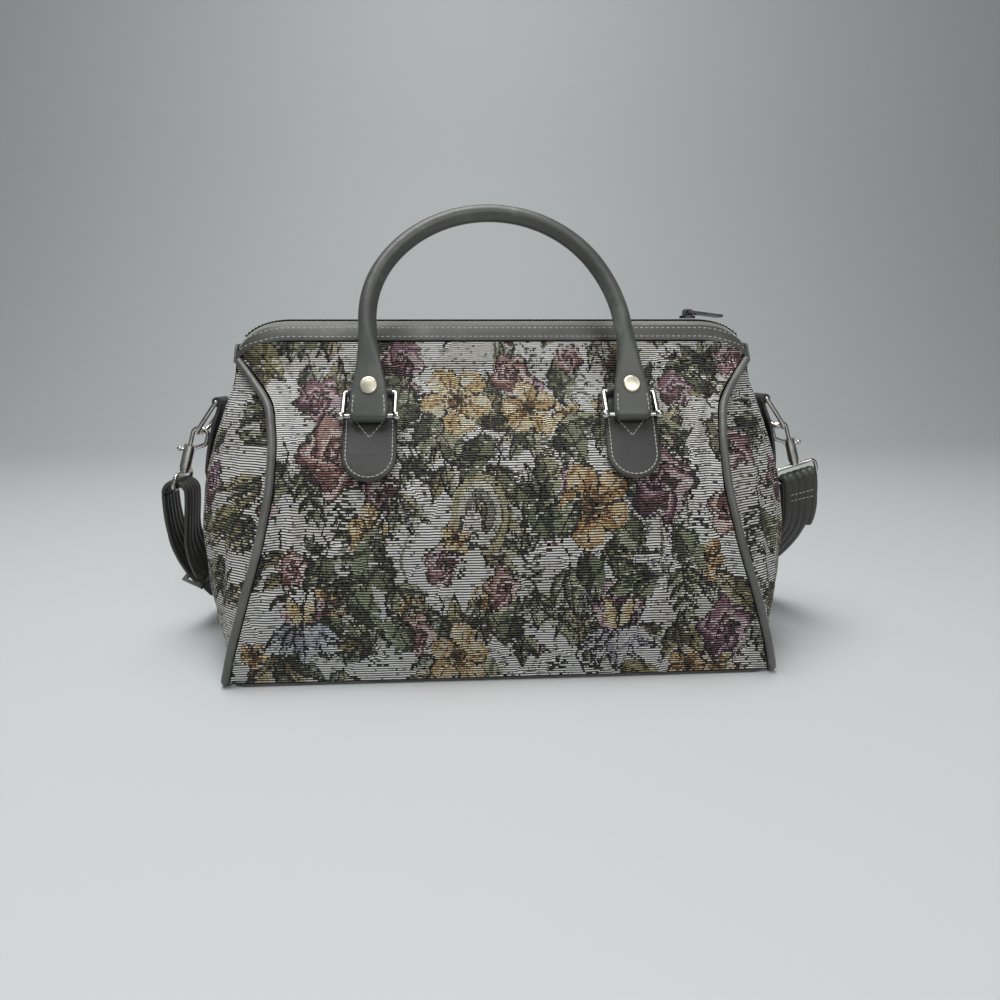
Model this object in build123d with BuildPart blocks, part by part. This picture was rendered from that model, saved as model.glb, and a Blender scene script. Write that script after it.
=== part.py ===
from build123d import *
from math import asin, atan2, cos, degrees, hypot, pi, radians, sin, tan
import os

os.makedirs("parts", exist_ok=True)

# ---------------------------------------------------------------- driving sizes, in millimetres
bag_length = 355.0  # across the base, seam to seam
bag_depth = 170.0  # across the base, front to back
zip_height = 230.0  # floor to the zip teeth
waist_inset = 33.0  # how far each end seam pulls in at the waist
dome_reach = 32.0  # how far each end gusset swells past the base
front_swell = 6.0  # how far the front and back faces swell past the base
corner_drop = 12.0  # the zip runs down this much towards its ends
cloth = 2.4  # tapestry with its lining
seam_gap = 0.3  # between sewn pieces that only touch
piping_radius = 3.0
board_thickness = 2.0

ridge_lean = 28.0  # degrees; how steeply the zip tapes stand
ridge_run = 30.0  # length of the sloping stretch of zip at each end
teeth_width = 2.2
teeth_height = 3.0
tape_thickness = 1.2
tape_width = 12.0
binding_width = 12.0
binding_thickness = 2.6
binding_start = 6.5  # from the teeth down to the binding's upper edge

handle_spacing = 166.0  # between the legs of one handle
handle_top = 300.0  # floor to the middle of the grip
handle_fall = 164.0  # turn of the back handle from upright to hanging behind the bag
grip_radius = 6.0
handle_tab_width = 23.0
handle_tab_thickness = 5.0
handle_tab_length = 26.0
flare_length = 20.0
rivet_radius = 5.5
rivet_height = 2.4
rivet_rise = 19.0  # above the pin

ring_inner = 30.0
chape_side = 2.0  # the chape's width past the ring's opening on each side
chape_width = ring_inner + 2 * chape_side
chape_length = 60.0
chape_thickness = 3.0
chape_top = 178.0  # height of the chape's loop
loop_radius = 3.5
ring_wire = 1.5  # radius
ring_drop = 19.0  # from the loop's axis down to the pin
lug_radius = 3.0
lug_width = 3.0
pin_radius = 1.5
ball_radius = 2.8
running = 0.12  # radial clearance of a pin or a wire in leather or metal

tab_top = 174.0  # height of the end tab's fold
tab_length = 56.0
tab_width = 25.0
tab_thickness = 3.0
dee_wire = 1.5
dee_inner = 20.0
dee_length = 25.0  # bar to bow
hook_tilt = 17.0  # degrees; how far the hook hangs out from upright
hook_wire = 1.5
hook_inner = 8.0
hook_height = 13.5
barrel_radius = 3.8
barrel_length = 17.0
bolt_radius = 1.5
bolt_rise = 6.4  # how far the bolt stands out of the barrel to close the hook
bolt_travel = 5.0
knob_radius = 1.2
collar_radius = 3.2
collar_thickness = 1.8
eye_wire = 1.4
stem_radius = 1.6
eye_height = 13.0

strap_width = 26.0
strap_thickness = 4.5
strap_loop = 7.75  # radius of the loose fold in the adjustable end
strap_tail = 96.0  # length of the doubled adjustable end
strap_flap = 38.0  # length of the sewn-back fixed end
slide_wire = 1.3

half_length = bag_length / 2
half_depth = bag_depth / 2
corner_height = zip_height - corner_drop

# ---------------------------------------------------------------- the bag's shape
# Each row: height share, seam inset share, seam depth share, front swell share, dome share.
body_rows = [
    (0.00, 0.00, 0.99, 0.00, 0.10),
    (0.11, 0.18, 1.02, 0.71, 0.60),
    (0.25, 0.45, 1.03, 1.00, 0.88),
    (0.43, 0.78, 0.97, 0.43, 1.00),
    (0.60, 0.98, 0.85, -0.85, 0.86),
    (0.74, 1.00, 0.70, -2.98, 0.60),
    (0.86, 0.86, 0.50, -6.23, 0.34),
    (0.94, 0.42, 0.30, -9.49, 0.12),
]
lean = radians(ridge_lean)
slope_down = (-sin(lean), -cos(lean))  # y and z of one step down the front tape
slope_out = (-cos(lean), sin(lean))  # y and z of one step out of the front tape
tape_start = (-(teeth_width + 2 * seam_gap), 1.0)


def ridge_point(down, out):
    """y and z, from the middle of the teeth, of a point on the front of the zip ridge."""
    y = tape_start[0] + down * slope_down[0] + out * slope_out[0]
    z = tape_start[1] + down * slope_down[1] + out * slope_out[1]
    return y, z


binding_in = tape_thickness + seam_gap
binding_out = binding_in + binding_thickness
binding_end = binding_start + binding_width
top_y, top_z = ridge_point(binding_end + seam_gap, binding_out)
panel_top = zip_height + top_z - 1.2
panel_shoulder = panel_top - corner_drop
panel_bottom = cloth + seam_gap


def body_row(row):
    """Height, seam half width, seam depth, middle depth and dome reach of one row."""
    share, inset, seam, swell, dome = row
    z = panel_bottom + share * (panel_shoulder - panel_bottom)
    seam_x = half_length - inset * waist_inset
    reach = half_length + dome * dome_reach
    return z, seam_x, seam * half_depth, half_depth + swell * front_swell, reach


rows = [body_row(row) for row in body_rows]
shoulder_depth = -top_y + 1.0
rows.append((panel_shoulder, half_length - 3.0, shoulder_depth, shoulder_depth + 9, half_length + 2.5))


def row_at(z):
    """The bag's row at any height, straight between the rows."""
    for low, high in zip(rows, rows[1:]):
        if z <= high[0]:
            break
    share = (z - low[0]) / (high[0] - low[0])
    return tuple(a + share * (b - a) for a, b in zip(low, high))


def face_y(x, z):
    """How far the front face stands out at one place, as a positive depth."""
    _, seam_x, seam_y, middle_y, _ = row_at(z)
    return middle_y - (middle_y - seam_y) * (x / seam_x) ** 2


def strip_sketch(points, inner, z):
    """A closed strip of cloth between an outer curve and an inner one, at one height."""
    with BuildSketch(Plane.XY.offset(z)) as sketch:
        with BuildLine():
            outer_line = Spline(*points)
            inner_line = Spline(*inner)
            Line(outer_line @ 0, inner_line @ 0)
            Line(outer_line @ 1, inner_line @ 1)
        make_face()
    return sketch.sketch


def panel_points(half, seam_y, middle_y, seam_x, depth):
    """Front curve of a row, from left to right, set back by depth."""
    points = []
    for share in (-1.0, -0.5, 0.0, 0.5, 1.0):
        x = share * half
        y = middle_y - (middle_y - seam_y) * (x / seam_x) ** 2
        points.append((x, depth - y))
    return points


# ---------------------------------------------------------------- tapestry panels
panel_edge = piping_radius + seam_gap
panel_sections = []
for index, (z, seam_x, seam_y, middle_y, _) in enumerate(rows):
    below = rows[max(index - 1, 0)]
    above = rows[min(index + 1, len(rows) - 1)]
    seam_slope = (above[1] - below[1]) / (above[0] - below[0])
    half = seam_x - panel_edge * hypot(1, seam_slope)
    outer = panel_points(half, seam_y, middle_y, seam_x, 0)
    inner = panel_points(half, seam_y, middle_y, seam_x, cloth)
    panel_sections.append(strip_sketch(outer, inner, z))
top_half = half_length - ridge_run - 3.0
outer = panel_points(top_half, shoulder_depth - 1, shoulder_depth, half_length, 0)
inner = panel_points(top_half, shoulder_depth - 1, shoulder_depth, half_length, cloth)
panel_sections.append(strip_sketch(outer, inner, panel_top))

with BuildPart() as front_panel:
    loft(panel_sections, ruled=True)

with BuildPart() as back_panel:
    mirror(front_panel.part, about=Plane.XZ)

gusset_bottom = 2 * piping_radius + 1.5
gusset_edge = piping_radius + 1.5


def gusset_points(seam_x, seam_y, reach, depth):
    """End curve of a row, from front to back, set in by depth."""
    edge_y = seam_y - gusset_edge
    edge_x = seam_x + 1.0
    swell = reach - edge_x
    points = []
    for share in (-1.0, -0.6, 0.0, 0.6, 1.0):
        x = edge_x + swell * (1 - abs(share) ** 2.4)
        points.append((x - depth, share * edge_y))
    return points


gusset_sections = []
for z, seam_x, seam_y, _, reach in [row_at(gusset_bottom)] + rows[1:]:
    outer = gusset_points(seam_x, seam_y, reach, 0)
    inner = gusset_points(seam_x, seam_y, reach, cloth)
    gusset_sections.append(strip_sketch(outer, inner, z))

with BuildPart() as right_gusset:
    loft(gusset_sections, ruled=True)

with BuildPart() as left_gusset:
    mirror(right_gusset.part, about=Plane.YZ)

with BuildPart() as base_panel:
    with BuildSketch(Plane.XY):
        Rectangle(2 * (half_length - panel_edge), 2 * rows[0][2])
    extrude(amount=cloth)

board_inset = 7.0
board_corner = 8.0
with BuildPart() as base_board:
    with BuildSketch(Plane.XY.offset(cloth + seam_gap)):
        RectangleRounded(bag_length - 2 * board_inset, 2 * rows[0][2] - 2 * board_inset, board_corner)
    extrude(amount=board_thickness)

# ---------------------------------------------------------------- piping round each end
seam_line = [(seam_x, -seam_y, z) for z, seam_x, seam_y, _, _ in rows[1:]]
base_corner = (half_length, -rows[0][2], piping_radius)
front_run = [base_corner] + seam_line
back_run = [(x, -y, z) for x, y, z in front_run]
piping_points = front_run[::-1] + back_run
piping_radii = []
for before, point, after in zip(piping_points, piping_points[1:], piping_points[2:]):
    first = Vector(*point) - Vector(*before)
    second = Vector(*after) - Vector(*point)
    turn = radians(first.get_angle(second))
    widest = 0.4 * min(first.length, second.length) / tan(turn / 2)
    piping_radii.append(4.5 if turn > 1.0 else min(widest, 400.0))

with BuildPart() as right_piping:
    with BuildLine() as piping_path:
        FilletPolyline(*piping_points, radius=piping_radii)
    start_plane = Plane(origin=piping_path.wires()[0] @ 0, z_dir=piping_path.wires()[0] % 0)
    with BuildSketch(start_plane):
        Circle(piping_radius)
    sweep()

with BuildPart() as left_piping:
    mirror(right_piping.part, about=Plane.YZ)

# ---------------------------------------------------------------- zip and its leather binding
ridge_end = half_length - 1.0
ridge_points = [
    (-ridge_end, 0, corner_height),
    (-(half_length - ridge_run), 0, zip_height),
    (half_length - ridge_run, 0, zip_height),
    (ridge_end, 0, corner_height),
]
ridge_bend = 30.0
ridge_slope = atan2(corner_drop, ridge_end - half_length + ridge_run)


def ridge_strip(corners):
    """Sweep a closed outline, given as y and z from the teeth, along the zip's ridge."""
    with BuildPart() as strip:
        with BuildLine():
            FilletPolyline(*ridge_points, radius=ridge_bend)
        along = (cos(ridge_slope), 0, sin(ridge_slope))
        with BuildSketch(Plane(origin=ridge_points[0], x_dir=(0, 1, 0), z_dir=along)):
            with BuildLine():
                Polyline(*corners, close=True)
            make_face()
        sweep()
    return strip.part


tooth_inner = seam_gap / 2
tooth_outer = tooth_inner + teeth_width
with BuildPart() as front_zip_teeth:
    add(ridge_strip([
        (-tooth_inner, -teeth_height / 2),
        (-tooth_inner, teeth_height / 2),
        (-tooth_outer, teeth_height / 2),
        (-tooth_outer, -teeth_height / 2),
    ]))

with BuildPart() as front_zip_tape:
    add(ridge_strip([
        ridge_point(0, 0),
        ridge_point(tape_width, 0),
        ridge_point(tape_width, tape_thickness),
        ridge_point(0, tape_thickness),
    ]))

with BuildPart() as front_binding:
    add(ridge_strip([
        ridge_point(binding_start, binding_in),
        ridge_point(binding_end, binding_in),
        ridge_point(binding_end, binding_out),
        ridge_point(binding_start, binding_out),
    ]))

with BuildPart() as back_zip_teeth:
    mirror(front_zip_teeth.part, about=Plane.XZ)

with BuildPart() as back_zip_tape:
    mirror(front_zip_tape.part, about=Plane.XZ)

with BuildPart() as back_binding:
    mirror(front_binding.part, about=Plane.XZ)

stop_thickness = 2.5
stop_height = 15.0
stop_inset = 3.0  # in from the gusset's edge on each side
stop_slant = 62.0  # degrees
stop_start = ridge_end + seam_gap + teeth_height / 2 * sin(ridge_slope)
stop_plane = Plane(origin=(stop_start, 0, corner_height + 1), x_dir=(0, 1, 0), z_dir=(1, 0, 0))
with BuildPart() as right_zip_stop:
    with BuildSketch(stop_plane):
        with Locations((0, -stop_height / 2)):
            Trapezoid(2 * (shoulder_depth - stop_inset), stop_height, stop_slant)
    extrude(amount=stop_thickness)

with BuildPart() as left_zip_stop:
    mirror(right_zip_stop.part, about=Plane.YZ)

# ---------------------------------------------------------------- zip slider and pull
slider_length = 11.0
slider_width = 8.4
slider_plate = 1.6
slider_x = half_length - ridge_run - slider_length / 2 - 6.0
slider_base = zip_height + teeth_height / 2 + seam_gap
bridge_length = 7.0
bridge_width = 2.8
bridge_height = 4.6
pull_wire = 0.9  # half the thickness of the pull
pull_rise = 2.6  # from the slider's plate up to the pull's axis
pull_axis = Vector(slider_x, 0, slider_base + slider_plate + pull_rise)
with BuildPart() as zip_slider:
    with BuildSketch(Plane.XY.offset(slider_base)):
        with Locations((slider_x, 0)):
            SlotOverall(slider_length, slider_width)
    extrude(amount=slider_plate)
    with BuildSketch(Plane.XZ.offset(-bridge_width / 2)):
        with Locations((slider_x, slider_base + slider_plate)):
            Rectangle(bridge_length, bridge_height, align=(Align.CENTER, Align.MIN))
    extrude(amount=bridge_width)
    fillet(zip_slider.edges().filter_by(Axis.Y).group_by(Axis.Z)[-1], radius=1.8)
    with BuildSketch(Plane.XZ.offset(-slider_width)):
        with Locations((slider_x, pull_axis.Z)):
            Circle(pull_wire * 2**0.5 + running)
    extrude(amount=2 * slider_width, mode=Mode.SUBTRACT)

pull_length = 24.0
pull_width = 8.0
pull_arm = 1.6
pull_droop = 7.0  # degrees; it hangs over the zip's falling end
pull_along = Vector(cos(radians(pull_droop)), 0, -sin(radians(pull_droop)))
pull_plane = Plane(origin=pull_axis, x_dir=pull_along, z_dir=pull_along.cross(Vector(0, 1, 0)))
with BuildPart() as zip_pull:
    with BuildSketch(pull_plane.offset(-pull_wire)):
        Rectangle(2 * pull_wire, pull_width + 2 * pull_arm)
        for side in (-1, 1):
            with Locations((-pull_wire, side * (pull_width + pull_arm) / 2)):
                Rectangle(pull_length * 0.35, pull_arm, align=(Align.MIN, Align.CENTER))
        with Locations((pull_length * 0.3, 0)):
            Rectangle(pull_length * 0.7, pull_width + 2 * pull_arm, align=(Align.MIN, Align.CENTER))
    extrude(amount=2 * pull_wire)

# ---------------------------------------------------------------- chapes, rings and pins
leg_x = handle_spacing / 2
chape_bottom = chape_top - chape_length
upper = Vector(0, -face_y(leg_x, chape_top), chape_top)
lower = Vector(0, -face_y(leg_x, chape_bottom), chape_bottom)
chape_down = (lower - upper).normalized()
chape_out = Vector(0, chape_down.Z, -chape_down.Y)
inner_x = leg_x - chape_width / 2
face_samples = [chape_bottom - 4 + step * (chape_length + 8) / 24 for step in range(25)]
face_lift = max(
    (Vector(0, -face_y(inner_x, z), z) - upper).dot(chape_out) for z in face_samples
)
chape_origin = Vector(leg_x, upper.Y, upper.Z) + chape_out * (face_lift + seam_gap)
chape_plane = Plane(origin=chape_origin, x_dir=(1, 0, 0), z_dir=chape_out)
loop_axis = chape_origin + chape_out * (loop_radius - 0.1)
loop_width = ring_inner - 2.0

with BuildPart() as front_right_chape:
    with BuildSketch(chape_plane):
        with Locations((0, -chape_length / 2 + chape_width / 4)):
            Rectangle(chape_width, chape_length - chape_width / 2)
        with Locations((0, -(chape_length - chape_width / 2))):
            Circle(chape_width / 2)
    extrude(amount=chape_thickness)
    neck = 14.0  # cut away beside the loop for the ring's arms
    with BuildSketch(chape_plane):
        for side in (-1, 1):
            with Locations((side * chape_width / 2, 0)):
                Rectangle(chape_width - loop_width, neck, align=(Align.CENTER, Align.CENTER))
    extrude(amount=chape_thickness, mode=Mode.SUBTRACT)
    with BuildSketch(Plane(origin=loop_axis - Vector(loop_width / 2, 0, 0), z_dir=(1, 0, 0))):
        Circle(loop_radius)
    extrude(amount=loop_width)
    with BuildSketch(Plane(origin=loop_axis - Vector(ring_inner, 0, 0), z_dir=(1, 0, 0))):
        Circle(ring_wire + running)
    extrude(amount=2 * ring_inner, mode=Mode.SUBTRACT)

wrap_radius = 4.0
pin_out = chape_thickness + wrap_radius + 0.5
ring_tilt = asin((pin_out - (loop_radius - 0.1)) / ring_drop)
ring_down = chape_down * cos(ring_tilt) + chape_out * sin(ring_tilt)
pin_axis = loop_axis + ring_down * ring_drop
arm_x = ring_inner / 2 + ring_wire


def cross_bar(centre, length, radius):
    """A round bar along X with its middle at centre, added to the part being built."""
    with BuildSketch(Plane(origin=centre - Vector(length / 2, 0, 0), z_dir=(1, 0, 0))) as end:
        Circle(radius)
    extrude(end.sketch, amount=length)


with BuildPart() as front_right_ring:
    cross_bar(loop_axis, 2 * arm_x, ring_wire)
    for side in (-1, 1):
        top = loop_axis + Vector(side * arm_x, 0, 0)
        with BuildSketch(Plane(origin=top, z_dir=ring_down)):
            Circle(ring_wire)
        extrude(amount=ring_drop)
        with Locations(top):
            Sphere(ring_wire)
        cross_bar(pin_axis + Vector(side * arm_x, 0, 0), lug_width, lug_radius)
    with BuildSketch(Plane(origin=pin_axis - Vector(ring_inner, 0, 0), z_dir=(1, 0, 0))):
        Circle(pin_radius + 0.05)
    extrude(amount=2 * ring_inner, mode=Mode.SUBTRACT)

pin_half = arm_x + lug_width / 2 + 0.2
pin_plane = Plane(origin=pin_axis, x_dir=(1, 0, 0), z_dir=(0, -1, 0))
with BuildPart() as front_right_pin:
    with BuildSketch(pin_plane):
        Rectangle(2 * pin_half + ball_radius, 2 * pin_radius)
        for side in (-1, 1):
            with Locations((side * (pin_half + 0.85 * ball_radius), 0)):
                Circle(ball_radius)
        Rectangle(4 * pin_half, 2 * ball_radius, align=(Align.CENTER, Align.MAX), mode=Mode.SUBTRACT)
    revolve(axis=Axis(pin_axis, (1, 0, 0)))

# ---------------------------------------------------------------- rolled handles
tab_back = -1.0  # the flat end's back face, measured out from the pin's axis
tab_front = tab_back + handle_tab_thickness
tube_out = (tab_back + tab_front) / 2
grip_gap = 0.6
apex = Vector(0, -(grip_radius + grip_gap / 2), handle_top)
rise_y = apex.Y - pin_axis.Y
rise_z = apex.Z - pin_axis.Z
handle_rise = (hypot(rise_y, rise_z) ** 2 - tube_out**2) ** 0.5
handle_lean = atan2(rise_y, rise_z) + atan2(tube_out, handle_rise)
handle_up = Vector(0, sin(handle_lean), cos(handle_lean))
handle_out = Vector(0, -cos(handle_lean), sin(handle_lean))
pin_middle = Vector(0, pin_axis.Y, pin_axis.Z)
arch_base = handle_rise - leg_x
tube_start = handle_tab_length + flare_length


def handle_point(across, up, out):
    """A point given across the bag, up the handle from the pin and out from it."""
    return pin_middle + Vector(across, 0, 0) + handle_up * up + handle_out * out


with BuildPart() as front_handle:
    with BuildLine():
        Polyline(handle_point(leg_x, tube_start, tube_out), handle_point(leg_x, arch_base, tube_out))
        ThreePointArc(
            handle_point(leg_x, arch_base, tube_out),
            handle_point(0, handle_rise, tube_out),
            handle_point(-leg_x, arch_base, tube_out),
        )
        Polyline(handle_point(-leg_x, arch_base, tube_out), handle_point(-leg_x, tube_start, tube_out))
    with BuildSketch(Plane(origin=handle_point(leg_x, tube_start, tube_out), z_dir=handle_up)):
        Circle(grip_radius)
    sweep()
    for side in (-1, 1):
        foot = side * leg_x
        with BuildSketch(Plane(origin=handle_point(foot, tube_start, tube_out), x_dir=(1, 0, 0), z_dir=handle_up)):
            RectangleRounded(2 * grip_radius, 2 * grip_radius, grip_radius - 0.02)
        with BuildSketch(
            Plane(origin=handle_point(foot, handle_tab_length, tube_out), x_dir=(1, 0, 0), z_dir=handle_up)
        ):
            RectangleRounded(handle_tab_width, handle_tab_thickness, 2.0)
        loft()
        with BuildSketch(Plane(origin=handle_point(foot, 0, tab_back), x_dir=(1, 0, 0), z_dir=handle_out)):
            Rectangle(handle_tab_width, handle_tab_length, align=(Align.CENTER, Align.MIN))
        extrude(amount=handle_tab_thickness)
        cross_bar(handle_point(foot, 0, 0), handle_tab_width, wrap_radius)
    with BuildSketch(Plane(origin=handle_point(-2 * leg_x, 0, 0), z_dir=(1, 0, 0))):
        Circle(pin_radius + running)
    extrude(amount=4 * leg_x, mode=Mode.SUBTRACT)

with BuildPart() as front_handle_rivets:
    for side in (-1, 1):
        seat = Plane(
            origin=handle_point(side * leg_x, rivet_rise, tab_front), x_dir=(1, 0, 0), z_dir=handle_out
        )
        with BuildSketch(seat):
            Circle(rivet_radius)
        extrude(amount=rivet_height, taper=32)

# ---------------------------------------------------------------- end tabs, dees and snap hooks
tab_low = row_at(tab_top - tab_length)[4]
tab_high = row_at(tab_top)[4]
tab_down = Vector(tab_low - tab_high, 0, -tab_length).normalized()
tab_out = Vector(-tab_down.Z, 0, tab_down.X)
tab_samples = [tab_top - 4 - step * (tab_length - 4) / 20 for step in range(21)]
tab_lift = max((Vector(row_at(z)[4], 0, z) - Vector(tab_high, 0, tab_top)).dot(tab_out) for z in tab_samples)
tab_origin = Vector(tab_high, 0, tab_top) + tab_out * (tab_lift + seam_gap)
tab_plane = Plane(origin=tab_origin, x_dir=(0, 1, 0), z_dir=tab_out)
fold_radius = 3.4
dee_axis = tab_origin + tab_out * (fold_radius - 0.1)
fold_width = dee_inner - 1.0

with BuildPart() as right_strap_tab:
    with BuildSketch(tab_plane):
        with BuildLine():
            Polyline((-fold_width / 2, 0), (-fold_width / 2, -6), (-tab_width / 2, -14), (-tab_width / 2, -20))
            Spline((-tab_width / 2, -20), (-tab_width * 0.36, -tab_length * 0.72), (0, -tab_length))
            Spline((0, -tab_length), (tab_width * 0.36, -tab_length * 0.72), (tab_width / 2, -20))
            Polyline((tab_width / 2, -20), (tab_width / 2, -14), (fold_width / 2, -6), (fold_width / 2, 0))
            Line((fold_width / 2, 0), (-fold_width / 2, 0))
        make_face()
    extrude(amount=tab_thickness)
    with BuildSketch(Plane(origin=dee_axis - Vector(0, fold_width / 2, 0), z_dir=(0, 1, 0))):
        Circle(fold_radius)
    extrude(amount=fold_width)
    with BuildSketch(Plane(origin=dee_axis - Vector(0, fold_width, 0), z_dir=(0, 1, 0))):
        Circle(dee_wire + running)
    extrude(amount=2 * fold_width, mode=Mode.SUBTRACT)

hook_x = half_length + dome_reach + 7.5
hook_z = tab_top - 29.0
hook_down = Vector(sin(radians(hook_tilt)), 0, -cos(radians(hook_tilt)))
hook_up = -hook_down
hook_in = Vector(-cos(radians(hook_tilt)), 0, -sin(radians(hook_tilt)))
hook_origin = Vector(hook_x, 0, hook_z)
hook_side = hook_inner + 2 * hook_wire


def hook_point(inward, up, back=0.0):
    """A point given from the top of the hook's barrel."""
    return hook_origin + hook_in * inward + hook_up * up + Vector(0, back, 0)


catch = hook_point(hook_side / 2 - 0.4, hook_height - hook_wire - dee_wire - 0.4)
dee_down = (catch - dee_axis).normalized()
dee_reach = (catch - dee_axis).length
dee_half = dee_inner / 2 + dee_wire
with BuildPart() as right_dee:
    with BuildLine():
        FilletPolyline(
            dee_axis + Vector(0, -dee_half, 0),
            dee_axis + dee_down * dee_reach + Vector(0, -dee_half, 0),
            dee_axis + dee_down * dee_reach + Vector(0, dee_half, 0),
            dee_axis + Vector(0, dee_half, 0),
            radius=dee_half - 1.5,
        )
    with BuildSketch(Plane(origin=dee_axis + Vector(0, -dee_half, 0), z_dir=dee_down)):
        Circle(dee_wire)
    sweep()
    with BuildSketch(Plane(origin=dee_axis - Vector(0, dee_half, 0), z_dir=(0, 1, 0))):
        Circle(dee_wire)
    extrude(amount=2 * dee_half)
    for side in (-1, 1):
        with Locations(dee_axis + Vector(0, side * dee_half, 0)):
            Sphere(dee_wire)

with BuildPart() as right_hook:
    with BuildSketch(Plane(origin=hook_origin, x_dir=(0, 1, 0), z_dir=hook_down)):
        Circle(barrel_radius)
    extrude(amount=barrel_length)
    with BuildLine():
        FilletPolyline(
            hook_point(barrel_radius - 1.6, -2.5),
            hook_point(hook_side - 0.6, 3.5),
            hook_point(hook_side - 0.6, hook_height),
            hook_point(0, hook_height),
            hook_point(0, bolt_rise + 0.3),
            radius=[3.0, 4.4, 4.4],
        )
    rise = hook_point(hook_side - 0.6, 3.5) - hook_point(barrel_radius - 1.6, -2.5)
    with BuildSketch(Plane(origin=hook_point(barrel_radius - 1.6, -2.5), z_dir=rise)):
        Circle(hook_wire)
    sweep()
    with BuildSketch(Plane(origin=hook_point(0, 0.5), x_dir=(0, 1, 0), z_dir=hook_down)):
        Circle(bolt_radius + running)
    extrude(amount=bolt_travel + 6.5, mode=Mode.SUBTRACT)
    with BuildSketch(Plane(origin=hook_point(0, -3.0), x_dir=(0, 1, 0), z_dir=-hook_in)):
        with Locations((0, 0)):
            Rectangle(2 * knob_radius + 0.4, bolt_travel + 2 * knob_radius + 0.6, align=(Align.CENTER, Align.MAX))
    extrude(amount=barrel_radius + 1, mode=Mode.SUBTRACT)
    with BuildSketch(Plane(origin=hook_point(0, -barrel_length - 1), x_dir=(0, 1, 0), z_dir=hook_up)):
        Circle(stem_radius + running)
    extrude(amount=5.0, mode=Mode.SUBTRACT)

with BuildPart() as right_trigger:
    with BuildSketch(Plane(origin=hook_point(0, bolt_rise), x_dir=(0, 1, 0), z_dir=hook_down)):
        Circle(bolt_radius)
    extrude(amount=bolt_rise + 5.2)
    with BuildSketch(Plane(origin=hook_point(0, -3.0 - knob_radius - 0.3), x_dir=(0, 1, 0), z_dir=-hook_in)):
        Circle(knob_radius)
    extrude(amount=barrel_radius + 2.2)
    with Locations(hook_point(-(barrel_radius + 2.6), -3.0 - knob_radius - 0.3)):
        Sphere(1.9)

eye_play = 2.0  # sideways room for the strap in its eye
eye_inner = strap_width + eye_play
eye_top = barrel_length + seam_gap + collar_thickness + eye_wire
eye_bar = eye_top + eye_height - 2 * eye_wire


def swivel_eye(across):
    """Stem, collar and a wide flat ring that hangs below the hook; across is the ring's long way."""
    half = eye_inner / 2 + eye_wire
    with BuildPart() as eye:
        with BuildLine():
            FilletPolyline(
                hook_point(0, -eye_top) + across * half,
                hook_point(0, -eye_bar) + across * half,
                hook_point(0, -eye_bar) - across * half,
                hook_point(0, -eye_top) - across * half,
                radius=3.5,
                close=True,
            )
        with BuildSketch(Plane(origin=hook_point(0, -(eye_top + eye_bar) / 2) + across * half, z_dir=hook_up)):
            Circle(eye_wire)
        sweep()
        with BuildSketch(Plane(origin=hook_point(0, -eye_top - eye_wire / 2), x_dir=(0, 1, 0), z_dir=hook_up)):
            Circle(stem_radius)
        extrude(amount=eye_wire * 1.5 + collar_thickness + seam_gap + 3.0)
        with BuildSketch(Plane(origin=hook_point(0, -eye_top + eye_wire / 2), x_dir=(0, 1, 0), z_dir=hook_up)):
            Circle(collar_radius)
        extrude(amount=collar_thickness + eye_wire / 2)
    return eye.part


eye_face_on = swivel_eye(hook_in)
eye_edge_on = swivel_eye(Vector(0, 1, 0))
with BuildPart() as right_swivel_eye:
    add(eye_face_on)

with BuildPart() as left_swivel_eye:
    mirror(eye_edge_on, about=Plane.YZ)

# ---------------------------------------------------------------- shoulder strap
right_bar = hook_point(0, -eye_bar)
left_bar = Vector(-right_bar.X, 0, right_bar.Z)
bar_gap = 0.45
tight_loop = eye_wire + bar_gap + strap_thickness / 2
loop_drop = strap_loop - strap_thickness / 2 - eye_wire - bar_gap
left_loop = left_bar - Vector(0, 0, loop_drop)
start_point = left_loop - Vector(strap_loop, 0, 0)
end_point = right_bar + Vector(0, tight_loop, 0)

# The route behind the bag, chosen by hand: place, then the way the strap's width points.
strap_route = [
    (start_point, (0, 1, 0)),
    (Vector(-235, 2, 86), (0.05, 1, 0)),
    (Vector(-229, 15, 60), (0.35, 0.93, 0.3)),
    (Vector(-222, 42, 34), (0.75, 0.6, 0.4)),
    (Vector(-215, 80, 13), (1.0, 0.2, 0.25)),
    (Vector(-200, 122, 3.4), (1.0, -0.3, 0.05)),
    (Vector(-168, 160, 2.6), (0.7, -0.7, 0)),
    (Vector(-122, 188, 2.6), (0.45, -0.9, 0)),
    (Vector(-62, 206, 2.6), (0.2, -1, 0)),
    (Vector(4, 212, 2.6), (0, -1, 0)),
    (Vector(68, 205, 2.6), (-0.2, -1, 0)),
    (Vector(126, 184, 2.6), (-0.45, -0.9, 0)),
    (Vector(172, 154, 2.6), (-0.7, -0.7, 0)),
    (Vector(201, 118, 4.0), (-0.95, -0.4, 0.05)),
    (Vector(215, 80, 16), (-1, -0.2, 0.1)),
    (Vector(225, 49, 38), (-1, -0.1, 0.1)),
    (Vector(231, 24, 64), (-1, -0.05, 0)),
    (end_point + hook_down * 24 + Vector(0, 1, 0), hook_in),
    (end_point, hook_in),
]
places = [place for place, _ in strap_route]
strap_radii = []
for before, point, after in zip(places, places[1:], places[2:]):
    first = point - before
    second = after - point
    turn = radians(first.get_angle(second))
    strap_radii.append(0.45 * min(first.length, second.length) / tan(turn / 2))
with BuildLine() as strap_line:
    FilletPolyline(*places, radius=strap_radii)
strap_wire = strap_line.wires()[0]

route_marks = [0.0]
for before, point in zip(places, places[1:]):
    route_marks.append(route_marks[-1] + (point - before).length)
marks = [mark / route_marks[-1] for mark in route_marks]


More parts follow.
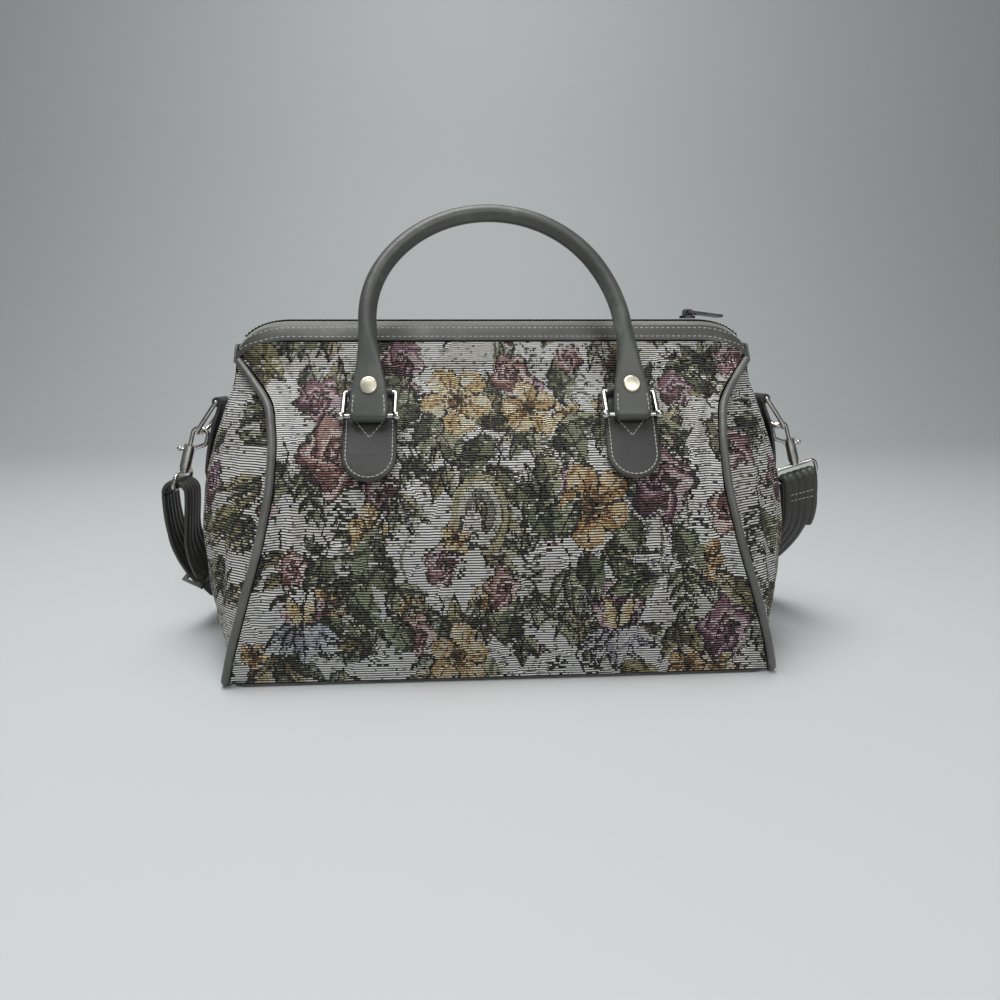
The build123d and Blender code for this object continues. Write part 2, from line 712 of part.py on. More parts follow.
def strap_frame(share):
    """Place, way along, width and thickness directions at a share of the strap's length."""
    for index in range(len(marks) - 2):
        if share <= marks[index + 1]:
            break
    else:
        index = len(marks) - 2
    part = min(1.0, max(0.0, (share - marks[index]) / (marks[index + 1] - marks[index])))
    first = Vector(strap_route[index][1]).normalized()
    second = Vector(strap_route[index + 1][1]).normalized()
    along = (strap_wire % share).normalized()
    across = first * (1 - part) + second * part
    across = (across - along * across.dot(along)).normalized()
    return strap_wire @ share, along, across, along.cross(across)


strap_length = strap_wire.length
stations = []  # each: middle, width direction, thickness direction
tail_steps = 10
for step in range(tail_steps + 1):  # the doubled end, from its tip up to the loose fold
    share = strap_tail * (1 - step / tail_steps) / strap_length
    middle, along, across, thick = strap_frame(share)
    near = strap_thickness + 2 * slide_wire + 2 * seam_gap
    closing = min(1.0, strap_tail * (1 - step / tail_steps) / 58.0)
    offset = 2 * strap_loop + (near - 2 * strap_loop) * (3 * closing**2 - 2 * closing**3)
    stations.append((middle + thick * offset, across, thick))
fold_steps = 6
for step in range(1, fold_steps):  # over the left eye's bar
    turn = pi * step / fold_steps
    out = Vector(cos(turn), 0, sin(turn))
    stations.append((left_loop + out * strap_loop, Vector(0, 1, 0), out))
run_steps = 48
for step in range(run_steps + 1):
    middle, along, across, thick = strap_frame(step / run_steps)
    stations.append((middle, across, -thick))
for step in range(1, fold_steps):  # over the right eye's bar
    turn = pi * step / fold_steps
    out = Vector(0, cos(turn), 0) + hook_up * sin(turn)
    stations.append((right_bar + out * tight_loop, hook_in, out))
flap_steps = 5
for step in range(flap_steps + 1):  # the sewn-back end, down the strap's front
    down = strap_flap * step / flap_steps
    middle, along, across, thick = strap_frame(1 - down / strap_length)
    closing = min(1.0, down / 15.0)
    offset = 2 * tight_loop + (strap_thickness + seam_gap - 2 * tight_loop) * closing
    stations.append((middle + thick * offset, across, thick))

with BuildPart() as shoulder_strap:
    for middle, across, thick in stations:
        with BuildSketch(Plane(origin=middle, x_dir=across, z_dir=across.cross(thick))):
            Rectangle(strap_width, strap_thickness)
    loft(ruled=True)
full_length = sum((b[0] - a[0]).length for a, b in zip(stations, stations[1:]))
print("strap run", round(strap_length), "whole", round(full_length))
print("strap volume over section", round(shoulder_strap.part.volume / strap_width / strap_thickness))

slide_share = 70.0 / strap_length
slide_middle, slide_along, slide_across, slide_thick = strap_frame(slide_share)
slide_offset = (strap_thickness + 2 * slide_wire + 2 * seam_gap) / 2
slide_centre = slide_middle + slide_thick * slide_offset
slide_plane = Plane(origin=slide_centre, x_dir=slide_across, z_dir=slide_along)
slide_long = strap_width + 2.4 + 2 * slide_wire
slide_tall = 2 * slide_offset + strap_thickness + 1.6 + 2 * slide_wire
with BuildPart() as strap_slide:
    with BuildSketch(slide_plane):
        Rectangle(slide_long + 2 * slide_wire, slide_tall + 2 * slide_wire)
        Rectangle(slide_long - 2 * slide_wire, slide_tall - 2 * slide_wire, mode=Mode.SUBTRACT)
        Rectangle(slide_long, 1.5 * slide_wire)
    extrude(amount=slide_wire, both=True)

# ---------------------------------------------------------------- copies for the other corners
mirrored_pieces = {}
for name, piece in (
    ("chape", front_right_chape),
    ("ring", front_right_ring),
    ("pin", front_right_pin),
):
    for end, side in (("front", "left"), ("back", "right"), ("back", "left")):
        with BuildPart() as across_copy:
            if side == "left":
                mirror(piece.part, about=Plane.YZ)
            else:
                add(piece.part)
        with BuildPart() as corner_copy:
            if end == "back":
                mirror(across_copy.part, about=Plane.XZ)
            else:
                add(across_copy.part)
        mirrored_pieces[f"{end}_{side}_{name}"] = corner_copy

for name, piece in (
    ("strap_tab", right_strap_tab),
    ("dee", right_dee),
    ("hook", right_hook),
    ("trigger", right_trigger),
):
    with BuildPart() as side_copy:
        mirror(piece.part, about=Plane.YZ)
    mirrored_pieces[f"left_{name}"] = side_copy

# the back handle hangs down behind the bag, turned about its pins
back_pin_line = Axis((0, -pin_middle.Y, pin_middle.Z), (1, 0, 0))
for name, piece in (("handle", front_handle), ("handle_rivets", front_handle_rivets)):
    with BuildPart() as back_copy:
        add(piece.part.mirror(Plane.XZ).rotate(back_pin_line, -handle_fall))
    mirrored_pieces[f"back_{name}"] = back_copy

# ---------------------------------------------------------------- write every piece
pieces = {
    "front_panel": front_panel,
    "back_panel": back_panel,
    "left_gusset": left_gusset,
    "right_gusset": right_gusset,
    "base_panel": base_panel,
    "base_board": base_board,
    "left_piping": left_piping,
    "right_piping": right_piping,
    "front_binding": front_binding,
    "back_binding": back_binding,
    "front_zip_tape": front_zip_tape,
    "back_zip_tape": back_zip_tape,
    "front_zip_teeth": front_zip_teeth,
    "back_zip_teeth": back_zip_teeth,
    "left_zip_stop": left_zip_stop,
    "right_zip_stop": right_zip_stop,
    "zip_slider": zip_slider,
    "zip_pull": zip_pull,
    "front_handle": front_handle,
    "front_handle_rivets": front_handle_rivets,
    "front_right_chape": front_right_chape,
    "front_right_ring": front_right_ring,
    "front_right_pin": front_right_pin,
    "right_strap_tab": right_strap_tab,
    "right_dee": right_dee,
    "right_hook": right_hook,
    "right_trigger": right_trigger,
    "right_swivel_eye": right_swivel_eye,
    "left_swivel_eye": left_swivel_eye,
    "shoulder_strap": shoulder_strap,
    "strap_slide": strap_slide,
}
pieces.update(mirrored_pieces)
for name, piece in pieces.items():
    piece.part.label = name
    export_step(piece.part, f"parts/{name}.step")

print("loop axis", loop_axis, "pin axis", pin_axis)
print("dee axis", dee_axis, "catch", catch, "hook origin", hook_origin, "hook down", hook_down)
print("pull axis", pull_axis, "handle lean", degrees(handle_lean))
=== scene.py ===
from math import atan2, cos, hypot, pi, radians, sin

import bpy
import numpy as np
from mathutils import Matrix, Vector


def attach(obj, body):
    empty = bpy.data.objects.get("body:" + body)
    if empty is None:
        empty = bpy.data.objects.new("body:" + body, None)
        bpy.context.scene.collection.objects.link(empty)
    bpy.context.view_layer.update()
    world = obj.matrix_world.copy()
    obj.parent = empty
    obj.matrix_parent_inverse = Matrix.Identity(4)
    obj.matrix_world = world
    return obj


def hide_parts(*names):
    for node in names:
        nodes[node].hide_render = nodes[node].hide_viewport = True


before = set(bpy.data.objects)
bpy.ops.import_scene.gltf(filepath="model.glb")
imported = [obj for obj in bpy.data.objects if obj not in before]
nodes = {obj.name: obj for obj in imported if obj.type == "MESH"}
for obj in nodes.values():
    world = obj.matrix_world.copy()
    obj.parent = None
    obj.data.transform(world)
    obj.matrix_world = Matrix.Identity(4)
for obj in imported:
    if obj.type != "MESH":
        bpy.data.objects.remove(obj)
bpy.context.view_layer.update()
bpy.ops.object.select_all(action="DESELECT")
mm = 0.001

# the bag's own sizes, as its construction has them
bag = dict(
    halfLength=177.5 * mm, halfDepth=85 * mm, zipHeight=230 * mm, cornerDrop=12 * mm, waistInset=33 * mm,
    domeReach=32 * mm, swell=6 * mm, bottom=2.7 * mm, ridgeFlat=140 * mm, ridgeFall=26 * mm, lean=radians(28),
    pipingRadius=3 * mm, panelEdge=3.3 * mm, gussetEdge=4.5 * mm, seamRound=22 * mm, shoulderBack=9 * mm,
)
binding = dict(
    start=6.5 * mm, width=12 * mm, inner=1.5 * mm, thick=2.6 * mm, stitchInset=2.7 * mm, pitch=3.7 * mm,
    narrowFrom=158 * mm, narrowOver=19 * mm, narrowBy=0.36,
)
teeth = dict(width=2.2 * mm, gap=0.3 * mm, pitch=2.3 * mm, count=150)

# height share, seam inset share, seam depth share, front swell share, dome share
bodyRows = [
    (0.00, 0.00, 0.99, 0.00, 0.10), (0.11, 0.18, 1.02, 0.71, 0.60), (0.25, 0.45, 1.03, 1.00, 0.88),
    (0.43, 0.78, 0.97, 0.43, 1.00), (0.60, 0.98, 0.85, -0.85, 0.86), (0.74, 1.00, 0.70, -2.98, 0.60),
    (0.86, 0.86, 0.50, -6.23, 0.34), (0.94, 0.42, 0.30, -9.49, 0.12),
]


def ridgeOffset(down, out):  # y and z from the teeth of a place on the front of the zip ridge
    y = -(teeth["width"] + 2 * teeth["gap"]) - down * sin(bag["lean"]) - out * cos(bag["lean"])
    return y, 1 * mm - down * cos(bag["lean"]) + out * sin(bag["lean"])


bindingEnd = binding["start"] + binding["width"] + teeth["gap"]
topY, topZ = ridgeOffset(bindingEnd, binding["inner"] + binding["thick"])
panelTop = bag["zipHeight"] + topZ - 1.2 * mm
shoulder = panelTop - bag["cornerDrop"]
shoulderDepth = 1 * mm - topY
straightRows = np.array([
    (
        bag["bottom"] + share * (shoulder - bag["bottom"]),
        bag["halfLength"] - inset * bag["waistInset"], seam * bag["halfDepth"],
        bag["halfDepth"] + swell * bag["swell"], bag["halfLength"] + dome * bag["domeReach"],
    )
    for share, inset, seam, swell, dome in bodyRows
] + [(
    shoulder, bag["halfLength"] - 3 * mm, shoulderDepth, shoulderDepth + bag["shoulderBack"],
    bag["halfLength"] + 2.5 * mm,
)])


def evened(values, step, reach):  # rounds a run of numbers off over a length, its ends kept
    count = max(1, round(reach / step / 2))
    padded = np.concatenate([
        2 * values[:1] - values[1:count + 1][::-1], values, 2 * values[-1:] - values[-count - 1:-1][::-1],
    ])
    kernel = np.hanning(2 * count + 3)[1:-1]
    kernel = kernel / kernel.sum()
    if values.ndim == 1:
        return np.convolve(padded, kernel, "valid")
    return np.stack([np.convolve(padded[:, k], kernel, "valid") for k in range(values.shape[1])], 1)


def lengthsAlong(points):  # how far along a line each of its points lies
    return np.concatenate([[0], np.cumsum(np.linalg.norm(np.diff(points, axis=0), axis=1))])


def spread(amounts, way):  # each amount, measured along one direction
    return np.multiply.outer(amounts, way)


def pointsAt(spots, marks, points):  # the line's places at some distances along it
    return np.stack([np.interp(spots, marks, column) for column in np.asarray(points).T], 1)


rowStep = 0.5 * mm
rowHeights = np.arange(straightRows[0, 0], shoulder + rowStep / 2, rowStep)
rowCurves = [
    evened(np.interp(rowHeights, straightRows[:, 0], straightRows[:, k]), rowStep, bag["seamRound"])
    for k in (1, 2, 3, 4)
]


def rowAt(z):  # seam half width, seam depth, middle depth and dome reach at a height
    return [np.interp(z, rowHeights, curve) for curve in rowCurves]


def ridgeAt(x):  # height of the zip's teeth along the bag
    x = np.abs(x)
    past = np.clip((x - bag["ridgeFlat"]) / (bag["halfLength"] - bag["ridgeFlat"]), 0, 1)
    return bag["zipHeight"] - bag["ridgeFall"] * (1 - np.sqrt(1 - 0.9 * past ** 2.2))


# ---- small helpers


def active(obj):
    bpy.ops.object.select_all(action="DESELECT")
    obj.select_set(True)
    bpy.context.view_layer.objects.active = obj


def setPoints(obj, points):
    obj.data.vertices.foreach_set("co", np.asarray(points, np.float32).ravel())
    obj.data.update()


def inEdit(obj, work, **options):  # one edit made to all of a mesh
    active(obj)
    bpy.ops.object.mode_set(mode="EDIT")
    bpy.ops.mesh.select_all(action="SELECT")
    work(**options)
    bpy.ops.object.mode_set(mode="OBJECT")


def started(name, add, **options):
    add(**options)
    obj = bpy.context.active_object
    obj.name = obj.data.name = name
    return obj


def gridPiece(name, columns, rows):  # a grid to be bent to shape, and each vertex's share across and up
    add = bpy.ops.mesh.primitive_grid_add
    obj = started(name, add, x_subdivisions=columns, y_subdivisions=rows, size=1)
    spots = np.zeros(len(obj.data.vertices) * 3, np.float32)
    obj.data.vertices.foreach_get("co", spots)
    spots = spots.reshape(-1, 3).astype(float)
    return obj, spots[:, 0] + 0.5, spots[:, 1] + 0.5


def setUv(obj, across, up):  # the cloth's own coordinates, in metres, vertex by vertex
    corners = np.zeros(len(obj.data.loops), np.int32)
    obj.data.loops.foreach_get("vertex_index", corners)
    uv = np.stack([across[corners], up[corners]], 1).astype(np.float32)
    obj.data.uv_layers[0].data.foreach_set("uv", uv.ravel())


def skinPiece(name, loops, capped=True):  # a closed skin over rings of points, one ring per station
    loops = np.asarray(loops, float)
    if capped:
        loops = np.concatenate([loops[:1] * 0 + loops[0].mean(0), loops, loops[-1:] * 0 + loops[-1].mean(0)])
    stations, around, _ = loops.shape
    obj, u, v = gridPiece(name, around, stations - 1)
    ring = np.rint(u * around).astype(int)
    station = np.rint(v * (stations - 1)).astype(int)
    setPoints(obj, loops[station, ring % around])
    along = lengthsAlong(loops.mean(1))
    girth = np.linalg.norm(np.diff(np.concatenate([loops, loops[:, :1]], 1), axis=1), axis=2).sum(1).max()
    setUv(obj, u * girth, along[station])
    inEdit(obj, bpy.ops.mesh.remove_doubles, threshold=0.01 * mm)
    inEdit(obj, bpy.ops.mesh.normals_make_consistent, inside=False)
    return obj


def ovalRing(width, thick, power, count):  # a rounded outline: power 2 is an ellipse, more is squarer
    turn = np.arange(count) * 2 * pi / count
    c, s = (np.sign(wave) * np.abs(wave) ** (2 / power) for wave in (np.cos(turn), np.sin(turn)))
    return c * width / 2, s * thick / 2


def placed(obj, name, place):  # a copy with its own mesh, moved or turned over
    twin = obj.copy()
    twin.data = obj.data.copy()
    twin.name = twin.data.name = name
    bpy.context.scene.collection.objects.link(twin)
    twin.data.transform(place)
    if place.determinant() < 0:
        twin.data.flip_normals()
    return twin


def copies(name, pattern, places):  # one joined piece from copies of a small part
    return joined(name, *(placed(pattern, name, place) for place in places))


def joined(name, *objs):
    bpy.ops.object.select_all(action="DESELECT")
    for obj in objs:
        obj.select_set(True)
    bpy.context.view_layer.objects.active = objs[0]
    bpy.ops.object.join()
    objs[0].name = objs[0].data.name = name
    return objs[0]


def spotAlong(points, pitch, start=0.0, end=0.0):  # evenly spaced places and directions along a line
    points = np.asarray(points, float)
    marks = lengthsAlong(points)
    count = max(1, int((marks[-1] - start - end) / pitch))
    spots = start + (np.arange(count) + 0.5) * (marks[-1] - start - end) / count
    here, ahead, behind = (pointsAt(spots + step, marks, points) for step in (0, 0.4 * mm, -0.4 * mm))
    return here, ahead - behind


def finish(obj, material, body, slot, *stands, angle=50):
    obj.data.materials.clear()
    obj.data.materials.append(material)
    active(obj)
    bpy.ops.object.shade_smooth_by_angle(angle=radians(angle))
    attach(obj, body)
    if stands:
        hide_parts(*stands)
    return obj


def mirrored(obj, name, axis):  # axis 0 is left to right, 1 front to back
    return placed(obj, name, Matrix.Diagonal((-1, 1, 1, 1) if axis == 0 else (1, -1, 1, 1)))


def opposite(name):
    return name.replace("right", "left").replace("front", "back")


def finishBoth(obj, material, slot, node=None, angle=50):  # the piece and its twin across the bag
    twin = mirrored(obj, opposite(obj.name), 0 if obj.name.startswith("right") else 1)
    finish(obj, material, "root", slot, *([node] if node else []), angle=angle)
    finish(twin, material, "root", slot, *([opposite(node)] if node else []), angle=angle)


# ---- finishes


def linear(red, green, blue):  # a painter's 0 to 255 colour as light
    def one(value):
        value /= 255
        return value / 12.92 if value <= 0.04045 else ((value + 0.055) / 1.055) ** 2.4
    return one(red), one(green), one(blue), 1.0


class Finish:  # a material and its node tree, with short ways to add to it
    def __init__(self, name):
        self.material = bpy.data.materials.new(name)
        self.material.use_nodes = True
        self.tree = self.material.node_tree
        self.shader = next(n for n in self.tree.nodes if n.type == "BSDF_PRINCIPLED")
        self.place = self.add("ShaderNodeTexCoord").outputs["Object"]

    def add(self, kind, **values):
        node = self.tree.nodes.new(kind)
        for key, value in values.items():
            if hasattr(node, key):
                setattr(node, key, value)
            else:
                node.inputs[key].default_value = value
        return node

    def link(self, a, b):
        self.tree.links.new(a, b)

    def set(self, **values):
        for key, value in values.items():
            self.shader.inputs[key.replace("_", " ")].default_value = value

    def noise(self, scale, detail=3.0, source=None, stretch=None):
        node = self.add("ShaderNodeTexNoise", Scale=scale, Detail=detail, Roughness=0.55)
        source = source or self.place
        if stretch:
            mapping = self.add("ShaderNodeMapping")
            mapping.inputs["Scale"].default_value = stretch
            self.link(source, mapping.inputs["Vector"])
            source = mapping.outputs["Vector"]
        self.link(source, node.inputs["Vector"])
        return node.outputs["Fac"]

    def cells(self, scale):
        node = self.add("ShaderNodeTexVoronoi", Scale=scale)
        self.link(self.place, node.inputs["Vector"])
        return node.outputs["Distance"]

    def wave(self, scale, distortion):
        node = self.add("ShaderNodeTexWave", Scale=scale, Distortion=distortion)
        self.link(self.place, node.inputs["Vector"])
        return node.outputs["Fac"]

    def ramp(self, fac, *stops):
        node = self.add("ShaderNodeValToRGB")
        elements = node.color_ramp.elements
        while len(elements) < len(stops):
            elements.new(0.5)
        for element, (spot, colour) in zip(elements, stops):
            element.position = spot
            element.color = colour
        self.link(fac, node.inputs["Fac"])
        return node.outputs["Color"]

    def grey(self, fac, low, high, start=0.0, end=1.0):
        node = self.add("ShaderNodeMapRange")
        for key, value in (("From Min", start), ("From Max", end), ("To Min", low), ("To Max", high)):
            node.inputs[key].default_value = value
        self.link(fac, node.inputs["Value"])
        return node.outputs["Result"]

    def math(self, kind, a, b=0):
        node = self.add("ShaderNodeMath")
        node.operation = kind
        for slot, value in enumerate((a, b)):
            if isinstance(value, (int, float)):
                node.inputs[slot].default_value = value
            else:
                self.link(value, node.inputs[slot])
        return node.outputs["Value"]

    def mix(self, fac, a, b, kind="MIX"):
        node = self.add("ShaderNodeMix")
        node.data_type, node.blend_type = "RGBA", kind
        for slot, value in ((0, fac), (6, a), (7, b)):
            if isinstance(value, (int, float, tuple)):
                node.inputs[slot].default_value = value
            else:
                self.link(value, node.inputs[slot])
        return node.outputs[2]

    def colour(self, output):
        self.link(output, self.shader.inputs["Base Color"])

    def rough(self, output):
        self.link(output, self.shader.inputs["Roughness"])

    def bump(self, *layers):  # each layer: height output, strength, distance in metres
        last = None
        for height, strength, distance in layers:
            node = self.add("ShaderNodeBump", Strength=strength, Distance=distance)
            self.link(height, node.inputs["Height"])
            if last:
                self.link(last, node.inputs["Normal"])
            last = node.outputs["Normal"]
        self.link(last, self.shader.inputs["Normal"])


def leather(name, shade, rub, roughness=0.45, grain=900, creases=0.25):
    skin = Finish(name)
    wide = skin.noise(28, 4)
    fine = skin.noise(420, 3)
    dark, pit = (linear(*[c * share for c in shade]) for share in (0.86, 0.8))
    tone = skin.ramp(wide, (0.30, dark), (0.55, linear(*shade)), (0.78, linear(*rub)))
    skin.colour(skin.mix(skin.grey(fine, 0.0, 0.35), tone, pit))
    skin.rough(skin.grey(skin.noise(60, 3), roughness - 0.08, roughness + 0.12))
    skin.set(Specular_IOR_Level=0.45, Coat_Weight=0.08, Coat_Roughness=0.35)
    skin.bump(
        (skin.cells(grain), 0.35, 0.12 * mm), (skin.noise(1500, 2), 0.25, 0.06 * mm),
        (skin.noise(110, 4, stretch=(1, 1, 2.2)), creases, 0.6 * mm),
    )
    return skin.material


trimLeather = leather("trimLeather", (75, 76, 72), (106, 106, 101), 0.44)
handleLeather = leather("handleLeather", (79, 81, 77), (124, 125, 118), 0.36, 800, 0.4)
patchLeather = leather("patchLeather", (52, 53, 51), (68, 69, 66), 0.46)
pipingLeather = leather("pipingLeather", (94, 95, 91), (120, 121, 116), 0.40, 900, 0.35)
strapLeather = leather("strapLeather", (53, 53, 50), (74, 74, 70), 0.42, 1100)


def threadFinish():
    thread = Finish("stitchThread")
    thread.colour(thread.ramp(thread.noise(700), (0.3, linear(150, 150, 143)), (0.7, linear(205, 204, 196))))
    thread.bump((thread.wave(900.0, 1.5), 0.4, 0.08 * mm))
    thread.rough(thread.grey(thread.noise(300), 0.55, 0.75))
    thread.set(Sheen_Weight=0.3)
    return thread.material


def metalFinish(name, bright, dull, roughness):
    metal = Finish(name)
    metal.set(Metallic=1.0)
    worn = metal.noise(90, 5)
    metal.colour(metal.ramp(worn, (0.3, linear(*dull)), (0.62, linear(*bright))))
    fine = metal.noise(500, 4, stretch=(1, 6, 1))
    metal.rough(metal.grey(fine, roughness - 0.06, roughness + 0.14))
    metal.bump((metal.noise(240, 3), 0.12, 0.08 * mm), (fine, 0.05, 0.03 * mm))
    return metal.material


def tapeFinish():
    tape = Finish("zipTapeWeave")
    across = tape.wave(420.0, 0.3)
    speckle = tape.noise(900, 2)
    tape.colour(tape.mix(speckle, linear(112, 113, 109), linear(150, 150, 145)))
    tape.rough(tape.grey(speckle, 0.7, 0.9))
    tape.bump((across, 0.15, 0.05 * mm), (speckle, 0.3, 0.1 * mm))
    tape.set(Sheen_Weight=0.25, Sheen_Roughness=0.5)
    return tape.material


stitchThread = threadFinish()
nickel = metalFinish("polishedNickel", (206, 204, 198), (150, 148, 143), 0.15)
rivetNickel = metalFinish("rivetNickel", (232, 226, 206), (205, 198, 178), 0.28)
zipMetal = metalFinish("darkZipMetal", (96, 96, 98), (52, 52, 55), 0.34)
teethMetal = metalFinish("zipTeeth", (58, 58, 59), (26, 26, 27), 0.45)
zipTape = tapeFinish()

weave = dict(rib=1.65 * mm, cell=0.7 * mm, dash=3.4 * mm, speck=1.1 * mm)


def tapestryFinish():  # raised ribs along the bag, broken into dashes over the woven colours, with painted shade in the dark gaps between them
    cloth = Finish("tapestryWeave")
    attribute = cloth.add("ShaderNodeAttribute", attribute_name="ink")
    ink, loose = attribute.outputs["Color"], attribute.outputs["Alpha"]
    uv = cloth.add("ShaderNodeUVMap", uv_map="UVMap").outputs["UV"]
    split = cloth.add("ShaderNodeSeparateXYZ")
    cloth.link(uv, split.inputs["Vector"])
    across, up = split.outputs["X"], split.outputs["Y"]
    wander = cloth.grey(cloth.noise(110, 2, source=uv), -0.14 * mm, 0.14 * mm, 0.3, 0.7)
    steps = cloth.math("FLOOR", cloth.grey(cloth.noise(22, 2, source=uv), 0, 5))
    jog = cloth.math("MULTIPLY", steps, weave["rib"] / 2)
    rise = cloth.math("DIVIDE", cloth.math("ADD", cloth.math("ADD", up, wander), jog), weave["rib"])
    row = cloth.math("FLOOR", rise)
    height = cloth.math("ABSOLUTE", cloth.math("SUBTRACT", cloth.math("FRACT", rise), 0.5))
    profile = cloth.grey(height, 1, 0, 0.20, 0.30)  # 1 on a rib, 0 in a gap, where the near-black colour paints the groove's shade

    def perRow(length, seed):  # one value for each short length of each row
        shift = cloth.math("MULTIPLY", row, 0.37 + seed)
        place = cloth.math("FLOOR", cloth.math("ADD", cloth.math("DIVIDE", across, length), shift))
        pair = cloth.add("ShaderNodeCombineXYZ")
        cloth.link(place, pair.inputs["X"])
        cloth.link(row, pair.inputs["Y"])
        white = cloth.add("ShaderNodeTexWhiteNoise", noise_dimensions="3D")
        cloth.link(pair.outputs["Vector"], white.inputs["Vector"])
        pair.inputs["Z"].default_value = seed
        return white.outputs["Value"]

    speck = perRow(weave["speck"], 0.5)
    kept = cloth.grey(cloth.math("SUBTRACT", speck, loose), 0.02, 1, -0.01, 0.02)
    dash = cloth.grey(perRow(weave["dash"], 0.0), 0.86, 1.0)
    bright = cloth.math("MULTIPLY", profile, kept)
    fibre = cloth.noise(1, 3, source=uv, stretch=(420, 5200, 1))
    paleInk = cloth.mix(cloth.grey(fibre, 0.0, 0.16, 0.35, 0.75), ink, linear(242, 240, 232))
    ribInk = cloth.mix(1.0, paleInk, cloth.grey(fibre, 0.91, 1.0, 0.25, 0.6), "MULTIPLY")
    shaded = cloth.mix(1.0, ribInk, dash, "MULTIPLY")
    # the near-black ink paints the shade in the grooves between the ribs, and also colours the dark yarn that
    # breaks a rib
    cloth.colour(cloth.mix(bright, cloth.mix(0.97, ink, linear(5, 4, 4)), shaded))
    cloth.rough(cloth.grey(fibre, 0.62, 0.88))
    cloth.set(Sheen_Weight=0.03, Sheen_Roughness=0.45, Specular_IOR_Level=0.15)
    cloth.bump((bright, 0.8, 0.45 * mm), (fibre, 0.25, 0.08 * mm))
    return cloth.material


tapestry = tapestryFinish()
print("finishes ready")

# ---- the woven picture: every yarn cell takes one colour

ground = (244, 242, 232)
outline = (16, 14, 13)
leafTones = [
    ((168, 170, 140), (96, 100, 76)), ((190, 190, 164), (118, 120, 98)), ((142, 148, 118), (66, 72, 54)),
    ((182, 172, 136), (110, 102, 74)), ((118, 124, 96), (46, 50, 38)), ((208, 208, 192), (138, 140, 128)),
    ((160, 152, 110), (90, 84, 54)),
]
roseTones = [
    ((222, 200, 202), (162, 124, 132), (88, 52, 62)), ((206, 180, 188), (144, 104, 118), (74, 42, 54)),
    ((228, 204, 194), (178, 140, 132), (110, 70, 66)),
]
goldTones = [
    ((236, 216, 178), (194, 162, 110), (110, 80, 48)), ((242, 228, 196), (204, 176, 126), (126, 96, 58)),
    ((226, 200, 158), (176, 138, 92), (96, 68, 42)),
]
petalTones = [
    ((208, 210, 218), (150, 152, 166), (86, 86, 98)), ((226, 222, 224), (164, 160, 174), (94, 90, 104)),
]


